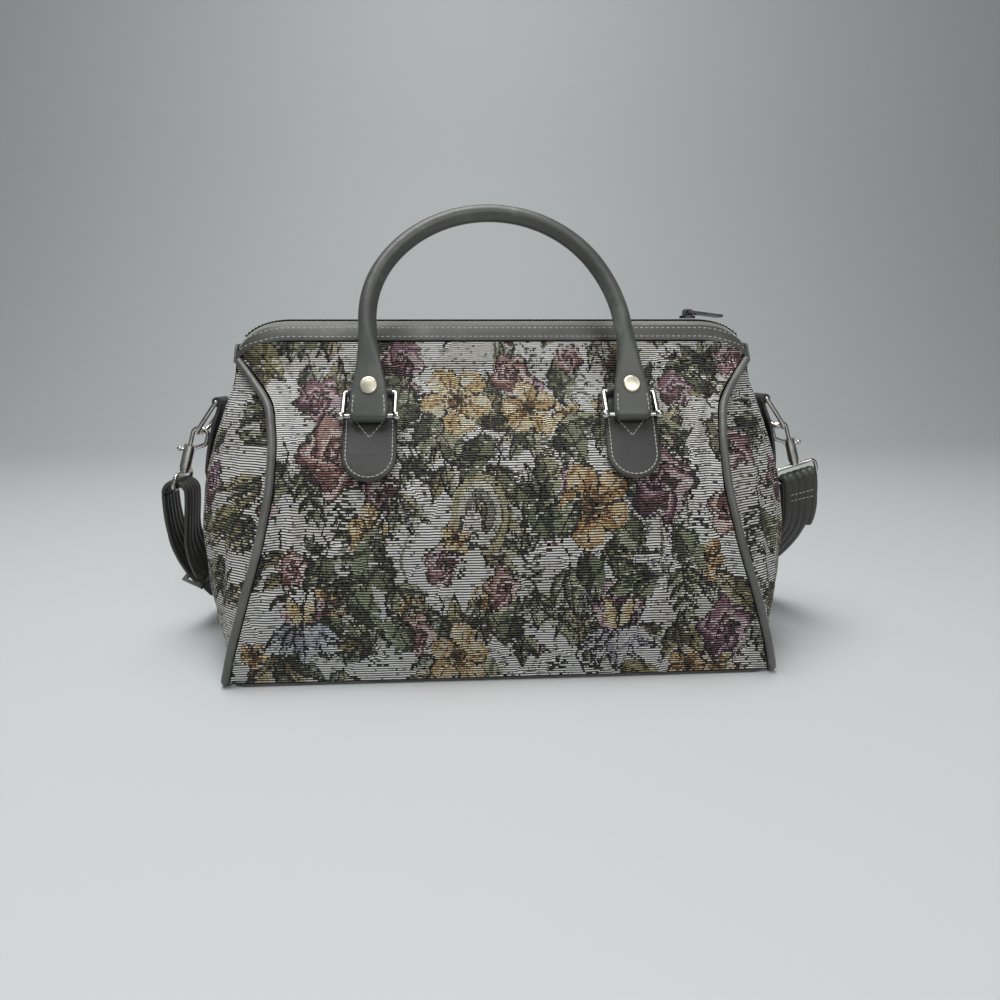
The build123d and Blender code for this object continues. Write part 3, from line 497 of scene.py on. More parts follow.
class Weaving:
    def __init__(self, across, up, seed):
        self.x, self.y = across / mm, up / mm  # millimetres on the cloth
        self.random = np.random.default_rng(seed)
        row = np.floor(self.y * mm / weave["rib"]).astype(int)
        nudge = self.random.normal(0, 0.35, row.max() + 2)
        self.x = self.x + nudge[row]
        dash = np.floor(self.x / 2.4 + self.random.random(row.max() + 2)[row] * 9).astype(int)
        table = self.random.random(9973)
        self.chance = table[(dash * 131 + row * 7919) % 9973]  # one value for each short dash of a rib
        tone = 1 + self.random.normal(0, 0.03, len(across))
        patch = np.sin(self.x / 17 + 1.3 * np.sin(self.y / 23)) * np.sin(self.y / 19 + seed)
        self.ink = np.array(ground) * (tone * (1 - 0.10 * (patch > 0.35)))[:, None]
        self.loose = np.full(len(across), 0.012)  # share of the rib that is broken by dark yarn
        self.lay(self.chance < 0.05, (150, 148, 138))

    def near(self, x, y, reach):
        return np.flatnonzero((np.abs(self.x - x) < reach) & (np.abs(self.y - y) < reach))

    def lay(self, where, colour, odds=1.0, loose=None):  # colours the cells, but misses a few
        chosen = where if where.dtype != bool else np.flatnonzero(where)
        chosen = chosen[self.random.random(len(chosen)) < odds]
        shade = 1 + self.random.normal(0, 0.07, len(chosen))
        self.ink[chosen] = np.array(colour) * shade[:, None]
        if loose is not None:
            self.loose[chosen] = loose

    def turned(self, cells, x, y, angle):
        dx, dy = self.x[cells] - x, self.y[cells] - y
        return dx * cos(angle) + dy * sin(angle), -dx * sin(angle) + dy * cos(angle)

    def leaf(self, x, y, angle, length, width, tones, vein=True, jag=0.10, fade=0.50, blunt=False):
        loose = 0.01
        cells = self.near(x + cos(angle) * length / 2, y + sin(angle) * length / 2, length * 0.62 + 2)
        along, side = self.turned(cells, x, y, angle)
        u, v = along / length, side / (width / 2)
        safe = np.clip(u, 0, 1)
        edge = np.sin(pi * safe ** 1.5) ** 0.55 if blunt else np.sin(pi * safe ** 0.72)
        edge = edge * (1 + jag * np.sin(safe * 26)) + 0.04 * np.sin(side * 2)
        inside = (u > 0) & (u < 1) & (np.abs(v) < edge)
        light, deep = tones
        chance = self.chance[cells]
        shadow = v < -0.10 + 0.30 * np.sin(u * 6 + x) + 0.35 * (chance - 0.5)
        self.lay(cells[inside], light, 0.99, loose)
        self.lay(cells[inside & shadow & (chance > fade * u * 0.5)], deep, 0.98, loose + 0.02)
        self.lay(cells[inside & ~shadow & (u > 0.5) & (chance < fade * u * 0.45)], ground, 0.9)
        self.lay(cells[inside & ~shadow & (np.sin(u * 15 + np.abs(v) * 3.0) > 0.8)], deep, 0.9)
        self.lay(cells[inside & (v < (2.6 + 1.8 * chance) / width - edge)], outline, 0.95)
        self.lay(cells[inside & (v > edge - 1.3 / width) & (chance < 0.45)], outline, 0.9)
        if vein:
            self.lay(cells[inside & (np.abs(side) < 0.55)], outline, 0.85)
            rib = np.sin(u * 17 - np.abs(v) * 4.2)
            self.lay(cells[inside & shadow & (rib > 0.88) & (np.abs(v) < 0.8 * edge)], outline, 0.85)

    def spray(self, x, y, angle, size, count, tones, other):  # pointed leaves fanned from one place
        for index in range(count):
            turn = angle + (index - (count - 1) / 2) * self.random.uniform(0.42, 0.62)
            reach = size * self.random.uniform(0.8, 1.1)
            self.leaf(x, y, turn, reach, reach * self.random.uniform(0.36, 0.46), (tones, other)[index % 2])
        steps = ((0, 0), (7, 0), (14, 0.4))
        stem = [(x - far * cos(angle + turn), y - far * sin(angle + turn)) for far, turn in steps]
        self.strand(stem, 1.4, outline)

    def petals(self, x, y, size, tones, lean):  # an open flower, taller than it is wide
        light, middle, deep = tones
        stretch = 1.35
        soft = dict(vein=False, jag=0.06, fade=0.3, blunt=True)
        for index in range(5):
            angle = lean + index * 2 * pi / 5 + self.random.uniform(-0.15, 0.15)
            reach = size * (1 + (stretch - 1) * abs(sin(angle))) * self.random.uniform(0.9, 1.1)
            self.leaf(x, y, angle, reach, size * 1.05, (light, middle), **soft)
            for side in (-0.24, 0.05):
                start = (x + 0.25 * reach * cos(angle), y + 0.25 * reach * sin(angle))
                end = (x + 0.8 * reach * cos(angle + side), y + 0.8 * reach * sin(angle + side))
                self.strand([start, end], 1.0, deep, 0.8)
        cells = self.near(x, y, size * 0.6)
        far = np.hypot(self.x[cells] - x, (self.y[cells] - y) / stretch) / size
        wave = np.sin(self.x[cells] * 0.9) * np.sin(self.y[cells] * 0.7 + x)
        self.lay(cells[far < 0.34 + 0.16 * wave], deep, 0.85, 0.06)
        self.lay(cells[far < 0.13 + 0.12 * wave], outline, 0.9)

    def rose(self, x, y, radius, tones, lean):
        cells = self.near(x, y, radius * 1.5)
        a, b = self.turned(cells, x, y, 0.0)
        b = b / 1.2
        angle = np.arctan2(b, a)
        rim = radius * (1 + 0.13 * np.cos(5 * angle + lean) + 0.06 * np.cos(9 * angle + lean))
        share = np.hypot(a, b) / rim
        inside = share < 1
        light, middle, deep = tones
        chance = self.chance[cells]
        swirl = (angle * 4 / (2 * pi) + share * 1.7 + 0.25 * np.sin(3 * angle + share * 5) + lean) % 1
        swirl = (swirl + 0.12 * (chance - 0.5)) % 1
        self.lay(cells[inside], light, 1.0, 0.01)
        self.lay(cells[inside & (chance < 0.02 + 0.16 * share)], ground, 0.9)
        self.lay(cells[inside & (swirl > 0.34)], middle, 0.97, 0.02)
        self.lay(cells[inside & (swirl > 0.64)], deep, 0.95, 0.03)
        self.lay(cells[inside & (swirl > 0.91)], outline, 0.9)
        heart = (angle * 2 / (2 * pi) + share * 3.1) % 1
        self.lay(cells[(share < 0.42) & (heart > 0.45)], deep, 0.9, 0.1)
        self.lay(cells[(share < 0.36) & (heart > 0.80)], outline, 0.9)
        self.lay(cells[inside & (share > 0.92)], outline, 0.75)

    def strand(self, points, width, colour, odds=0.9):  # a stem that follows a few points
        points = np.array(points, float)
        steps = np.linspace(0, len(points) - 1, 60)
        line = evened(pointsAt(steps, range(len(points)), points), 1.0, 16)
        middle, reach = line.mean(0), np.ptp(line, axis=0).max() / 2 + width + 1
        cells = self.near(*middle, reach)
        if len(cells):
            gap = np.hypot(self.x[cells, None] - line[None, :, 0], self.y[cells, None] - line[None, :, 1])
            self.lay(cells[gap.min(1) < width / 2], colour, odds)

    def sprig(self, x, y, angle, length, pairs, tones):
        bendBy = self.random.uniform(-0.5, 0.5)
        spots = [(x + cos(angle + bendBy * t) * length * t, y + sin(angle + bendBy * t) * length * t)
                 for t in np.linspace(0, 1, pairs + 2)]
        self.strand(spots, 1.5, outline, 0.9)
        for index, (sx, sy) in enumerate(spots[1:]):
            size = length * (0.46 - 0.16 * index / (pairs + 1))
            for side in (-1, 1):
                self.leaf(sx, sy, angle + side * 0.75, size, size * 0.46, tones, vein=size > 11)
        self.leaf(*spots[-1], angle + bendBy, length * 0.36, length * 0.16, tones, vein=False)

    def iris(self, x, y, size, tones, side):  # drooping pale petals under a gold throat
        for turn in (-2.6, -0.5, -2.15, -1.0):
            self.leaf(x, y, turn, size, size * 0.42, tones[:2], jag=0.05)
        self.leaf(x, y, -1.57, size * 1.05, size * 0.5, tones[:2], jag=0.04)
        for turn in (2.3, 0.8):
            self.leaf(x, y, turn, size * 0.8, size * 0.44, side[:2], jag=0.08)
        self.leaf(x - 1, y - 1, 1.9, size * 0.75, size * 0.34, goldTones[0][:2], vein=False)
        self.leaf(x + 1, y - 1, 1.2, size * 0.75, size * 0.34, goldTones[1][:2], vein=False)
        self.strand([(x, y), (x + 1, y + size * 0.5)], 1.6, outline)

    def curl(self, x, y, size, tones):  # tall open loops, one inside another
        for share, width, colour in ((1.0, 5.2, tones[1]), (0.72, 4.6, tones[0]), (0.44, 4.0, tones[2])):
            turns = np.linspace(-0.3 - share, 2.4 + share, 9)
            reach = share * size
            loop = [(x + 0.62 * reach * cos(t), y + reach * sin(t) - 0.2 * reach) for t in turns]
            self.strand([(px + 1.2, py - 1.2) for px, py in loop], width, (78, 74, 64), 0.8)
            self.strand(loop, width, colour, 0.95)

    def shade(self, x, y, radius, odds, colour):  # a salt and pepper patch of loose yarns
        cells = self.near(x, y, radius * 1.4)
        far = np.hypot(self.x[cells] - x, (self.y[cells] - y) / 1.4) / radius
        wave = 1 + 0.3 * np.sin(self.x[cells] / 3.1 + self.y[cells] / 4.3)
        self.lay(cells[(far < wave) & (self.chance[cells] < odds * (1.2 - far))], colour, 0.95, 0.12)

    def foliage(self, width, height, pitch=25.0):  # leaves, stems and small flowers over all of the ground
        spots = [
            (x + self.random.uniform(-8, 8), y + self.random.uniform(-8, 8))
            for y in np.arange(0, height + pitch, pitch) for x in np.arange(-width, width + pitch, pitch)
        ]
        self.random.shuffle(spots)
        for x, y in spots:
            pick = self.random.random()
            angle = self.random.choice((-1, -1, 1)) * pi / 2 + self.random.normal(0, 0.5)
            tones = leafTones[self.random.integers(len(leafTones))]
            other = leafTones[self.random.integers(len(leafTones))]
            gold, pink = goldTones[self.random.integers(3)], roseTones[self.random.integers(3)]
            size = self.random.uniform(30, 46)
            if self.random.random() < 0.40:
                shades = ((34, 32, 30), other[1], pink[2], (120, 118, 118))
                self.shade(x + 8, y, self.random.uniform(7, 14), 0.6, shades[self.random.integers(4)])
            if pick < 0.52:
                self.spray(x, y + size * 0.4, angle, size * 0.78, self.random.integers(2, 5), tones, other)
            elif pick < 0.64:
                foot = x - cos(angle) * size / 2, y - sin(angle) * size / 2
                self.leaf(*foot, angle, size * 1.1, size * 0.5, tones)
            elif pick < 0.72:
                self.sprig(x, y, angle, size * 1.1, self.random.integers(2, 4), tones)
            elif pick < 0.80:
                bow = self.random.uniform(-9, 9)
                self.strand([(x, y - size * 0.4), (x + bow, y), (x, y + size * 0.4)], 2.0, tones[1], 0.8)
            elif pick < 0.86:
                self.petals(x, y, self.random.uniform(8, 13), gold, angle)
            elif pick < 0.92:
                self.rose(x, y, self.random.uniform(9, 14), pink, angle)

    def flowers(self, roses, golds):  # the large flowers, each a place and a radius
        for x, y, radius in roses:
            self.rose(x, y, radius, roseTones[abs(x) % 3], lean=x)
        for x, y, radius in golds:
            self.petals(x, y, radius, goldTones[abs(x) % 3], lean=x)

    def worn(self):  # loose light and dark yarns all over
        self.lay((self.chance > 0.50) & (self.chance < 0.512), outline)
        self.lay((self.chance > 0.60) & (self.chance < 0.625), (205, 202, 190))
        return np.clip(self.ink, 8, 235)


def frontPicture(w):
    w.foliage(182, 232)
    w.curl(-15, 112, 26, (leafTones[5][0], leafTones[3][0], leafTones[5][1]))
    w.flowers((
        (-118, 190, 15), (-104, 146, 23), (100, 124, 20), (8, 208, 14), (-2, 60, 11), (142, 30, 17),
        (-56, 32, 12), (118, 196, 13), (-150, 112, 10),
    ), ((-28, 188, 21), (18, 180, 17), (56, 112, 21), (-30, 16, 17), (-84, 98, 12), (128, 76, 11)))
    w.iris(-126, 40, 30, petalTones[0], roseTones[1])
    w.iris(72, 34, 32, petalTones[1], roseTones[0])
    for x, y, angle, size, tones in (
        (-90, 66, 1.2, 32, 2), (-72, 60, 1.9, 27, 4), (-96, 62, -1.0, 28, 2), (30, 90, 2.0, 26, 4),
        (34, 92, 1.1, 24, 2), (50, 84, -1.3, 28, 4), (-44, 176, -1.8, 28, 2), (-40, 162, -1.0, 25, 0),
        (40, 168, -1.2, 27, 2), (-8, 160, -2.1, 30, 4), (76, 200, -1.7, 30, 0), (-60, 20, 2.0, 26, 2),
        (0, 24, 1.3, 26, 4), (108, 96, -1.0, 30, 2), (24, 146, -1.3, 26, 0), (148, 176, -1.8, 30, 1),
        (-76, 214, -1.4, 26, 4),
    ):
        w.leaf(x, y, angle, size * 1.3, size * 0.66, leafTones[tones])


def backPicture(w):
    w.foliage(182, 232)
    w.flowers(
        ((-60, 150, 25), (40, 60, 24), (110, 190, 19), (-140, 60, 21), (-10, 200, 16), (10, 110, 15)),
        ((60, 150, 24), (-90, 30, 21), (130, 110, 19), (-30, 90, 16), (-120, 190, 17)),
    )
    w.iris(-10, 40, 30, petalTones[0], roseTones[1])


def endPicture(w):
    w.foliage(96, 232, 29.0)
    w.flowers(((30, 70, 12), (-34, 120, 13), (6, 168, 10)), ((-20, 56, 11), (38, 132, 12)))


def weaveOn(obj, picture, seed):  # gives each face of the cloth its yarn's colour
    mesh = obj.data
    starts = np.zeros(len(mesh.polygons), np.int32)
    sizes = np.zeros(len(mesh.polygons), np.int32)
    mesh.polygons.foreach_get("loop_start", starts)
    mesh.polygons.foreach_get("loop_total", sizes)
    uv = np.zeros(len(mesh.loops) * 2, np.float32)
    mesh.uv_layers[0].data.foreach_get("uv", uv)
    uv = uv.reshape(-1, 2)
    sums = np.add.reduceat(uv, starts, axis=0) / sizes[:, None]
    weaving = Weaving(sums[:, 0], sums[:, 1], seed)
    picture(weaving)
    ink = weaving.worn() / 255
    ink = np.where(ink <= 0.04045, ink / 12.92, ((ink + 0.055) / 1.055) ** 2.4)
    layer = mesh.color_attributes.new("ink", "FLOAT_COLOR", "CORNER")
    colours = np.ones((len(mesh.loops), 4), np.float32)
    colours[:, :3] = np.repeat(ink, sizes, axis=0)
    colours[:, 3] = np.repeat(weaving.loose, sizes)
    layer.data.foreach_set("color", colours.ravel())


# ---- tapestry panels

panel = dict(
    dent=1.6 * mm, pucker=0.5 * mm, puckerReach=13 * mm, puckerPitch=6.5 * mm, liningBack=2.0 * mm,
    fold=3.6 * mm, foldPitch=15 * mm, foldReach=36 * mm,
)
profileZ = np.append(rowHeights, np.linspace(shoulder, panelTop, 25)[1:])
seamX, seamY, middleY = (
    np.append(curve, np.interp(profileZ[len(rowHeights):], [shoulder, panelTop], [curve[-1], top]))
    for curve, top in zip(rowCurves, (bag["halfLength"], shoulderDepth - 1 * mm, shoulderDepth))
)
slope = np.gradient(seamX, profileZ)
halfX = seamX - bag["panelEdge"] * np.hypot(1, slope)
past = len(rowHeights) - 1
edgeX = np.linspace(bag["halfLength"], bag["ridgeFlat"], 200)
halfX[past:] = np.minimum(
    halfX[past], np.interp(profileZ[past:], ridgeAt(edgeX) + panelTop - bag["zipHeight"] + 2 * mm, edgeX),
)
rise = lengthsAlong(np.stack([profileZ, middleY], 1))


def ramp(value, reach):  # 0 to 1 over the reach, then 1
    return np.clip(value / reach, 0, 1)


def clothDents(x, z, seed):  # how far the loose cloth falls in, always inwards
    a, b = x / mm, z / mm
    slack = 0.5 + 0.5 * np.sin(a / 31 + 1.7 * np.sin(b / 47 + seed)) * np.sin(b / 38 + 0.9 * np.sin(a / 52))
    fine = 0.5 + 0.5 * np.sin(a / 11 + 2.1 * np.sin(b / 29)) * np.sin(b / 17 + seed)
    return panel["dent"] * (0.75 * slack + 0.25 * fine)


def clothPanel(name, columns, rows, back=0.0):
    obj, u, v = gridPiece(name, columns, rows)
    s = v * rise[-1]
    z = np.interp(s, rise, profileZ)
    half = np.interp(s, rise, halfX)
    x = np.clip((u - 0.5) * 2 * bag["halfLength"], -half, half)
    seamAt, seamDepth, middle = (np.interp(s, rise, c) for c in (seamX, seamY, middleY))
    depth = middle - (middle - seamDepth) * (x / seamAt) ** 2
    inset = half - np.abs(x)
    below = rise[-1] - s
    calm = ramp(inset, 22 * mm) * ramp(below, 20 * mm) * ramp(s, 14 * mm)
    ruck = 0.5 + 0.5 * np.sin(s * 2 * pi / panel["puckerPitch"] + np.sin(s * 300))
    ruck = ruck * np.exp(-((inset - 6 * mm) / panel["puckerReach"]) ** 2) * ramp(inset, 3 * mm)
    fold = 0.5 - 0.5 * np.cos(2 * pi * inset / panel["foldPitch"] + 0.8 * np.sin(s * 42))
    fold = fold * np.exp(-inset / panel["foldReach"]) * ramp(s - 25 * mm, 60 * mm) * ramp(below, 30 * mm)
    depth = depth - clothDents(x, z, 1.0) * calm - panel["fold"] * fold - panel["pucker"] * ruck - back
    setPoints(obj, np.stack([x, -depth, z], 1))
    setUv(obj, x, s)
    inEdit(obj, bpy.ops.mesh.dissolve_degenerate, threshold=0.001 * mm)
    return obj


panelColumns = round(2 * bag["halfLength"] / weave["cell"])
panelRows = round(rise[-1] / weave["rib"])
frontCloth = clothPanel("frontCloth", panelColumns, panelRows)
backCloth = mirrored(frontCloth, "backCloth", 1)
weaveOn(frontCloth, frontPicture, 5)
weaveOn(backCloth, backPicture, 9)

liningCloth = Finish("liningCloth")
liningCloth.colour(liningCloth.mix(liningCloth.noise(900), linear(60, 60, 58), linear(84, 84, 80)))
liningCloth.bump((liningCloth.noise(1300, 2), 0.3, 0.1 * mm))
liningCloth.rough(liningCloth.grey(liningCloth.noise(300), 0.75, 0.9))
frontLining = clothPanel("frontLining", 90, 60, back=panel["liningBack"])
finishBoth(frontLining, liningCloth.material, "tapestry", angle=180)
print("front and back cloth", len(frontCloth.data.polygons))

gusset = dict(low=7.5 * mm, power=2.4, dent=1.4 * mm, fold=4.6 * mm, foldPitch=0.19, foldReach=0.42)
domeZ = np.linspace(gusset["low"], shoulder, 400)
domeSeam, domeDepth, _, domeOut = rowAt(domeZ)
domeRise = lengthsAlong(np.stack([domeZ, domeOut], 1))


def endCloth(name, columns, rows, back=0.0):
    obj, u, v = gridPiece(name, columns, rows)
    s = v * domeRise[-1]
    z = np.interp(s, domeRise, domeZ)
    seamAt, seamDepth, out = (np.interp(s, domeRise, c) for c in (domeSeam, domeDepth, domeOut))
    share = (u - 0.5) * 2
    edgeX = seamAt + 1 * mm
    y = share * (seamDepth - bag["gussetEdge"])
    x = edgeX + (out - edgeX) * (1 - np.abs(share) ** gusset["power"])
    inset = 1 - np.abs(share)
    calm = ramp(inset, 0.25) * ramp(s, 16 * mm) * ramp(domeRise[-1] - s, 16 * mm)
    fold = 0.5 - 0.5 * np.cos(2 * pi * inset / gusset["foldPitch"] + np.sin(s * 38 + share))
    fold = fold * np.exp(-inset / gusset["foldReach"]) * calm ** 0.5 * ramp(s, 70 * mm)
    a, b = y / mm, z / mm
    dent = calm * (0.5 + 0.5 * np.sin(a / 15 + 1.4 * np.sin(b / 27)) * np.cos(b / 21))
    x = x - gusset["fold"] * fold - gusset["dent"] * dent - back
    setPoints(obj, np.stack([x, y, z], 1))
    setUv(obj, y * 1.12, s)
    return obj


rightEndCloth = endCloth("rightEndCloth", 200, round(domeRise[-1] / weave["rib"]))
leftEndCloth = mirrored(rightEndCloth, "leftEndCloth", 0)
weaveOn(rightEndCloth, endPicture, 21)
weaveOn(leftEndCloth, endPicture, 34)
rightLining = endCloth("rightEndLining", 50, 60, back=panel["liningBack"])
finishBoth(rightLining, liningCloth.material, "tapestry", angle=180)
for obj, node in (
    (frontCloth, "front_panel"), (backCloth, "back_panel"),
    (rightEndCloth, "right_gusset"), (leftEndCloth, "left_gusset"),
):
    finish(obj, tapestry, "root", "tapestry", node, angle=180)
print("end cloths")

base = dict(halfWidth=84.15 * mm, halfLength=174.2 * mm, thick=2.4 * mm, corner=9 * mm)
baseLoops = []
for t in np.linspace(0, pi, 41):  # stations crowd towards the two ends, where the corners turn
    x = -cos(t) * (base["halfLength"] - 0.1 * mm)
    reach = base["halfLength"] - abs(x)
    cut = base["corner"] - (base["corner"] ** 2 - max(0, base["corner"] - reach) ** 2) ** 0.5
    y, z = ovalRing(2 * (base["halfWidth"] - cut), base["thick"], 9, 48)
    baseLoops.append(np.stack([y * 0 + x, y, z + base["thick"] / 2], 1))
baseCover = skinPiece("baseCover", baseLoops)
finish(baseCover, trimLeather, "root", "tapestry", "base_panel")

# ---- leather piping round both ends

piping = dict(radius=2.6 * mm, sides=14, step=1.2 * mm, cornerRound=9 * mm)
heights = np.arange(8 * mm, shoulder, 1 * mm)
seamHere, depthHere, _, _ = rowAt(heights)
frontRun = np.stack([seamHere, -depthHere, heights], 1)
corner = np.array([[bag["halfLength"], -straightRows[0, 2], bag["pipingRadius"]]])
rough = np.concatenate([frontRun[::-1], corner, corner * (1, -1, 1), frontRun * (1, -1, 1)])
marks = lengthsAlong(rough)
spots = np.arange(0, marks[-1], piping["step"])
pipingLine = evened(pointsAt(spots, marks, rough), piping["step"], piping["cornerRound"])


def tubeLoops(line, radius, sides, sideways):  # rings round a line, measured from a steady direction
    along = np.gradient(line, axis=0)
    along /= np.linalg.norm(along, axis=1)[:, None]
    first = np.cross(along, sideways)
    first /= np.linalg.norm(first, axis=1)[:, None]
    second = np.cross(along, first)
    turn = np.arange(sides) * 2 * pi / sides
    radius = np.broadcast_to(np.asarray(radius, float), (len(line),))[:, None, None]
    ring = first[:, None] * np.cos(turn)[None, :, None] + second[:, None] * np.sin(turn)[None, :, None]
    return line[:, None] + ring * radius


ruck = 1 + 0.03 * np.sin(spots / mm / 2.1 + 2 * np.sin(spots / mm / 9)) * np.sin(spots / mm / 31)
pipingLoops = tubeLoops(pipingLine, piping["radius"] * ruck, piping["sides"], (1, 0, 0))
rightPiping = skinPiece("rightPiping", pipingLoops)
finishBoth(rightPiping, pipingLeather, "piping_leather", "right_piping")
print("piping")

# ---- zip: bindings, tapes, teeth, end stops

ridgeX = np.linspace(-bag["halfLength"] + 1 * mm, bag["halfLength"] - 1 * mm, 260)


def narrowing(x):  # the share of its width that the trim keeps towards its ends
    past = np.clip((np.abs(x) - binding["narrowFrom"]) / binding["narrowOver"], 0, 1)
    return 1 - binding["narrowBy"] * past ** 1.4


def ridgeStrip(name, middle, outMiddle, width, thick, bulge=0.0):  # a flat strip along one side of the zip
    down, out = ovalRing(width, thick, 7, 32)
    out = out + bulge * (1 - (2 * down / width) ** 2) * (out > 0)
    loops = []
    for x, z in zip(ridgeX, ridgeAt(ridgeX)):
        y, dz = ridgeOffset(middle + down * narrowing(x), outMiddle + out)
        loops.append(np.stack([y * 0 + x, y, z + dz], 1))
    return skinPiece(name, loops)


frontBinding = ridgeStrip(
    "frontBinding", binding["start"] + binding["width"] / 2, binding["inner"] + binding["thick"] / 2,
    binding["width"], binding["thick"] - 0.4 * mm, bulge=0.35 * mm,
)
finishBoth(frontBinding, trimLeather, "trim_leather", "front_binding")
tape = dict(middle=7.1 * mm, out=0.6 * mm, width=10 * mm, thick=1.1 * mm)
frontTape = ridgeStrip("frontZipTape", *tape.values())
finishBoth(frontTape, zipTape, "zip_tape", "front_zip_tape")

# one stitch, then rows of it
stitchHalves = dict(along=1.35 * mm, across=0.36 * mm, up=0.30 * mm)
stitch = started("stitch", bpy.ops.mesh.primitive_uv_sphere_add, segments=7, ring_count=5, radius=1)
stitch.data.transform(Matrix.Diagonal((*stitchHalves.values(), 1)))


def placeMatrix(spot, along, out):
    x = Vector(along).normalized()
    z = Vector(out)
    z = (z - x * z.dot(x)).normalized()
    y = z.cross(x)
    return Matrix.Translation(Vector(spot)) @ Matrix((x, y, z)).transposed().to_4x4()


def stitchRow(name, line, outs, body, slot, pitch=3.4 * mm, start=0.0, end=0.0):
    here, along = spotAlong(line, pitch, start, end)
    outs = np.broadcast_to(np.asarray(outs, float), (len(here), 3)) if np.ndim(outs) == 1 else outs(here)
    sway = np.random.default_rng(len(name)).normal(0, 0.05, len(here))
    spots = zip(here, along, outs, sway)
    places = [placeMatrix(*spot) @ Matrix.Rotation(turn, 4, "Z") for *spot, turn in spots]
    return finish(copies(name, stitch, places), stitchThread, body, slot, angle=180)


def stitchBoth(name, line, out, slot, **spacing):  # a row and the same row across the bag
    flip = (-1, 1, 1) if name.startswith("right") else (1, -1, 1)
    stitchRow(name, line, out, "root", slot, **spacing)
    stitchRow(opposite(name), np.array(line) * flip, np.array(out) * flip, "root", slot, **spacing)


outward = np.array([0, -cos(bag["lean"]), sin(bag["lean"])])
stitchLift = binding["inner"] + binding["thick"] - 0.02 * mm
rowSpacing = dict(pitch=binding["pitch"], start=3 * mm, end=3 * mm)
for index, down in enumerate((binding["stitchInset"], binding["width"] - binding["stitchInset"])):
    y, dz = ridgeOffset((binding["start"] + down) * narrowing(ridgeX), stitchLift)
    line = np.stack([ridgeX, y, ridgeAt(ridgeX) + dz], 1)
    stitchBoth(f"frontBindingStitches{index}", line, outward, "trim_leather", **rowSpacing)

toothSize = dict(along=1.3 * mm, across=2.9 * mm, up=2.1 * mm)
tooth = started("tooth", bpy.ops.mesh.primitive_cube_add, size=1)
tooth.data.transform(Matrix.Diagonal((*toothSize.values(), 1)))
inEdit(tooth, bpy.ops.mesh.bevel, offset=0.32 * mm, segments=1)
for end, side in (("front", -1), ("back", 1)):
    places = []
    for index in range(teeth["count"]):
        x = (index - teeth["count"] / 2 + 0.25 * side + 0.5) * teeth["pitch"]
        tilt = atan2(float(ridgeAt(x + mm) - ridgeAt(x - mm)), 2 * mm)
        spot = Matrix.Translation((x, side * 0.9 * mm, float(ridgeAt(x))))
        places.append(spot @ Matrix.Rotation(-tilt, 4, "Y"))
    row = copies(end + "Teeth", tooth, places)
    finish(row, teethMetal, "root", "zip_metal", end + "_zip_teeth", angle=30)

stop = dict(
    x=178.3 * mm, low=202 * mm, high=214.5 * mm, lowHalf=12.5 * mm, highHalf=5 * mm, thick=2.2 * mm,
    stitchesAt=206.5 * mm, stitchHalf=10 * mm,
)
stopLoops = []
for t in np.linspace(0, 1, 22):
    half = stop["lowHalf"] + (stop["highHalf"] - stop["lowHalf"]) * t
    half *= (1 - max(0, (t - 0.8) / 0.2) ** 3 * 0.55)
    y, x = ovalRing(2 * half, stop["thick"], 5, 32)
    stopLoops.append(np.stack([x + stop["x"], y, y * 0 + stop["low"] + t * (stop["high"] - stop["low"])], 1))
rightStop = skinPiece("rightZipStop", stopLoops)
finishBoth(rightStop, trimLeather, "trim_leather", "right_zip_stop")
stopFace = stop["x"] + stop["thick"] / 2
stopLine = [(stopFace, side * stop["stitchHalf"], stop["stitchesAt"]) for side in (-1, 1)]
stitchBoth("rightStopStitches", stopLine, (1, 0, 0), "trim_leather")
print("zip")

# ---- rolled handles

handle = dict(
    legX=83 * mm, pin=Vector((0, -63.7783 * mm, 169.045 * mm)), lean=radians(24.2984), top=300 * mm,
    grip=5.4 * mm, seam=0.9 * mm, tabBack=-1 * mm, tabFront=4 * mm, wrap=4 * mm, fall=radians(164),
    sway=-4.5 * mm, rivetRise=19 * mm, rivetRadius=5.7 * mm, rivetHeight=1.9 * mm, stitchInset=2.1 * mm,
)
handleUp = Vector((0, sin(handle["lean"]), cos(handle["lean"])))
handleOut = Vector((0, -cos(handle["lean"]), sin(handle["lean"])))
tubeOut = (handle["tabBack"] + handle["tabFront"]) / 2
apexY = -6.3 * mm
handleRise = (hypot(apexY - handle["pin"].y, handle["top"] - handle["pin"].z) ** 2 - tubeOut ** 2) ** 0.5
archBase = handleRise - handle["legX"]
grip = handle["grip"]


def easing(value, low, high):
    t = np.clip((value - low) / (high - low), 0, 1)
    return t * t * (3 - 2 * t)


def handlePlace(across, up, out):
    across = across + handle["sway"] * easing(up, 22 * mm, 105 * mm)  # worn handles lean a little
    base = np.array(handle["pin"]) + spread(across, (1, 0, 0))
    return base + spread(up, np.array(handleUp)) + spread(out, np.array(handleOut))


legMarks = mm * np.concatenate([
    np.linspace(-3.95, 0, 7), np.linspace(1, 58, 40), np.linspace(60, archBase / mm, 8),
])
archMarks = np.linspace(0, pi, 72)[1:-1]

# distance above the pin and width of the flared end, in millimetres
flare = np.array([
    (-4, 22), (2, 24), (6, 23.8), (12, 22.9), (18, 21.4), (26, 18.2), (36, 14.8), (48, 12.2), (60, 10.8),
])
flareMarks = np.linspace(-4, 60, 129)
flareWidths = evened(np.interp(flareMarks, *flare.T), 0.5, 6)


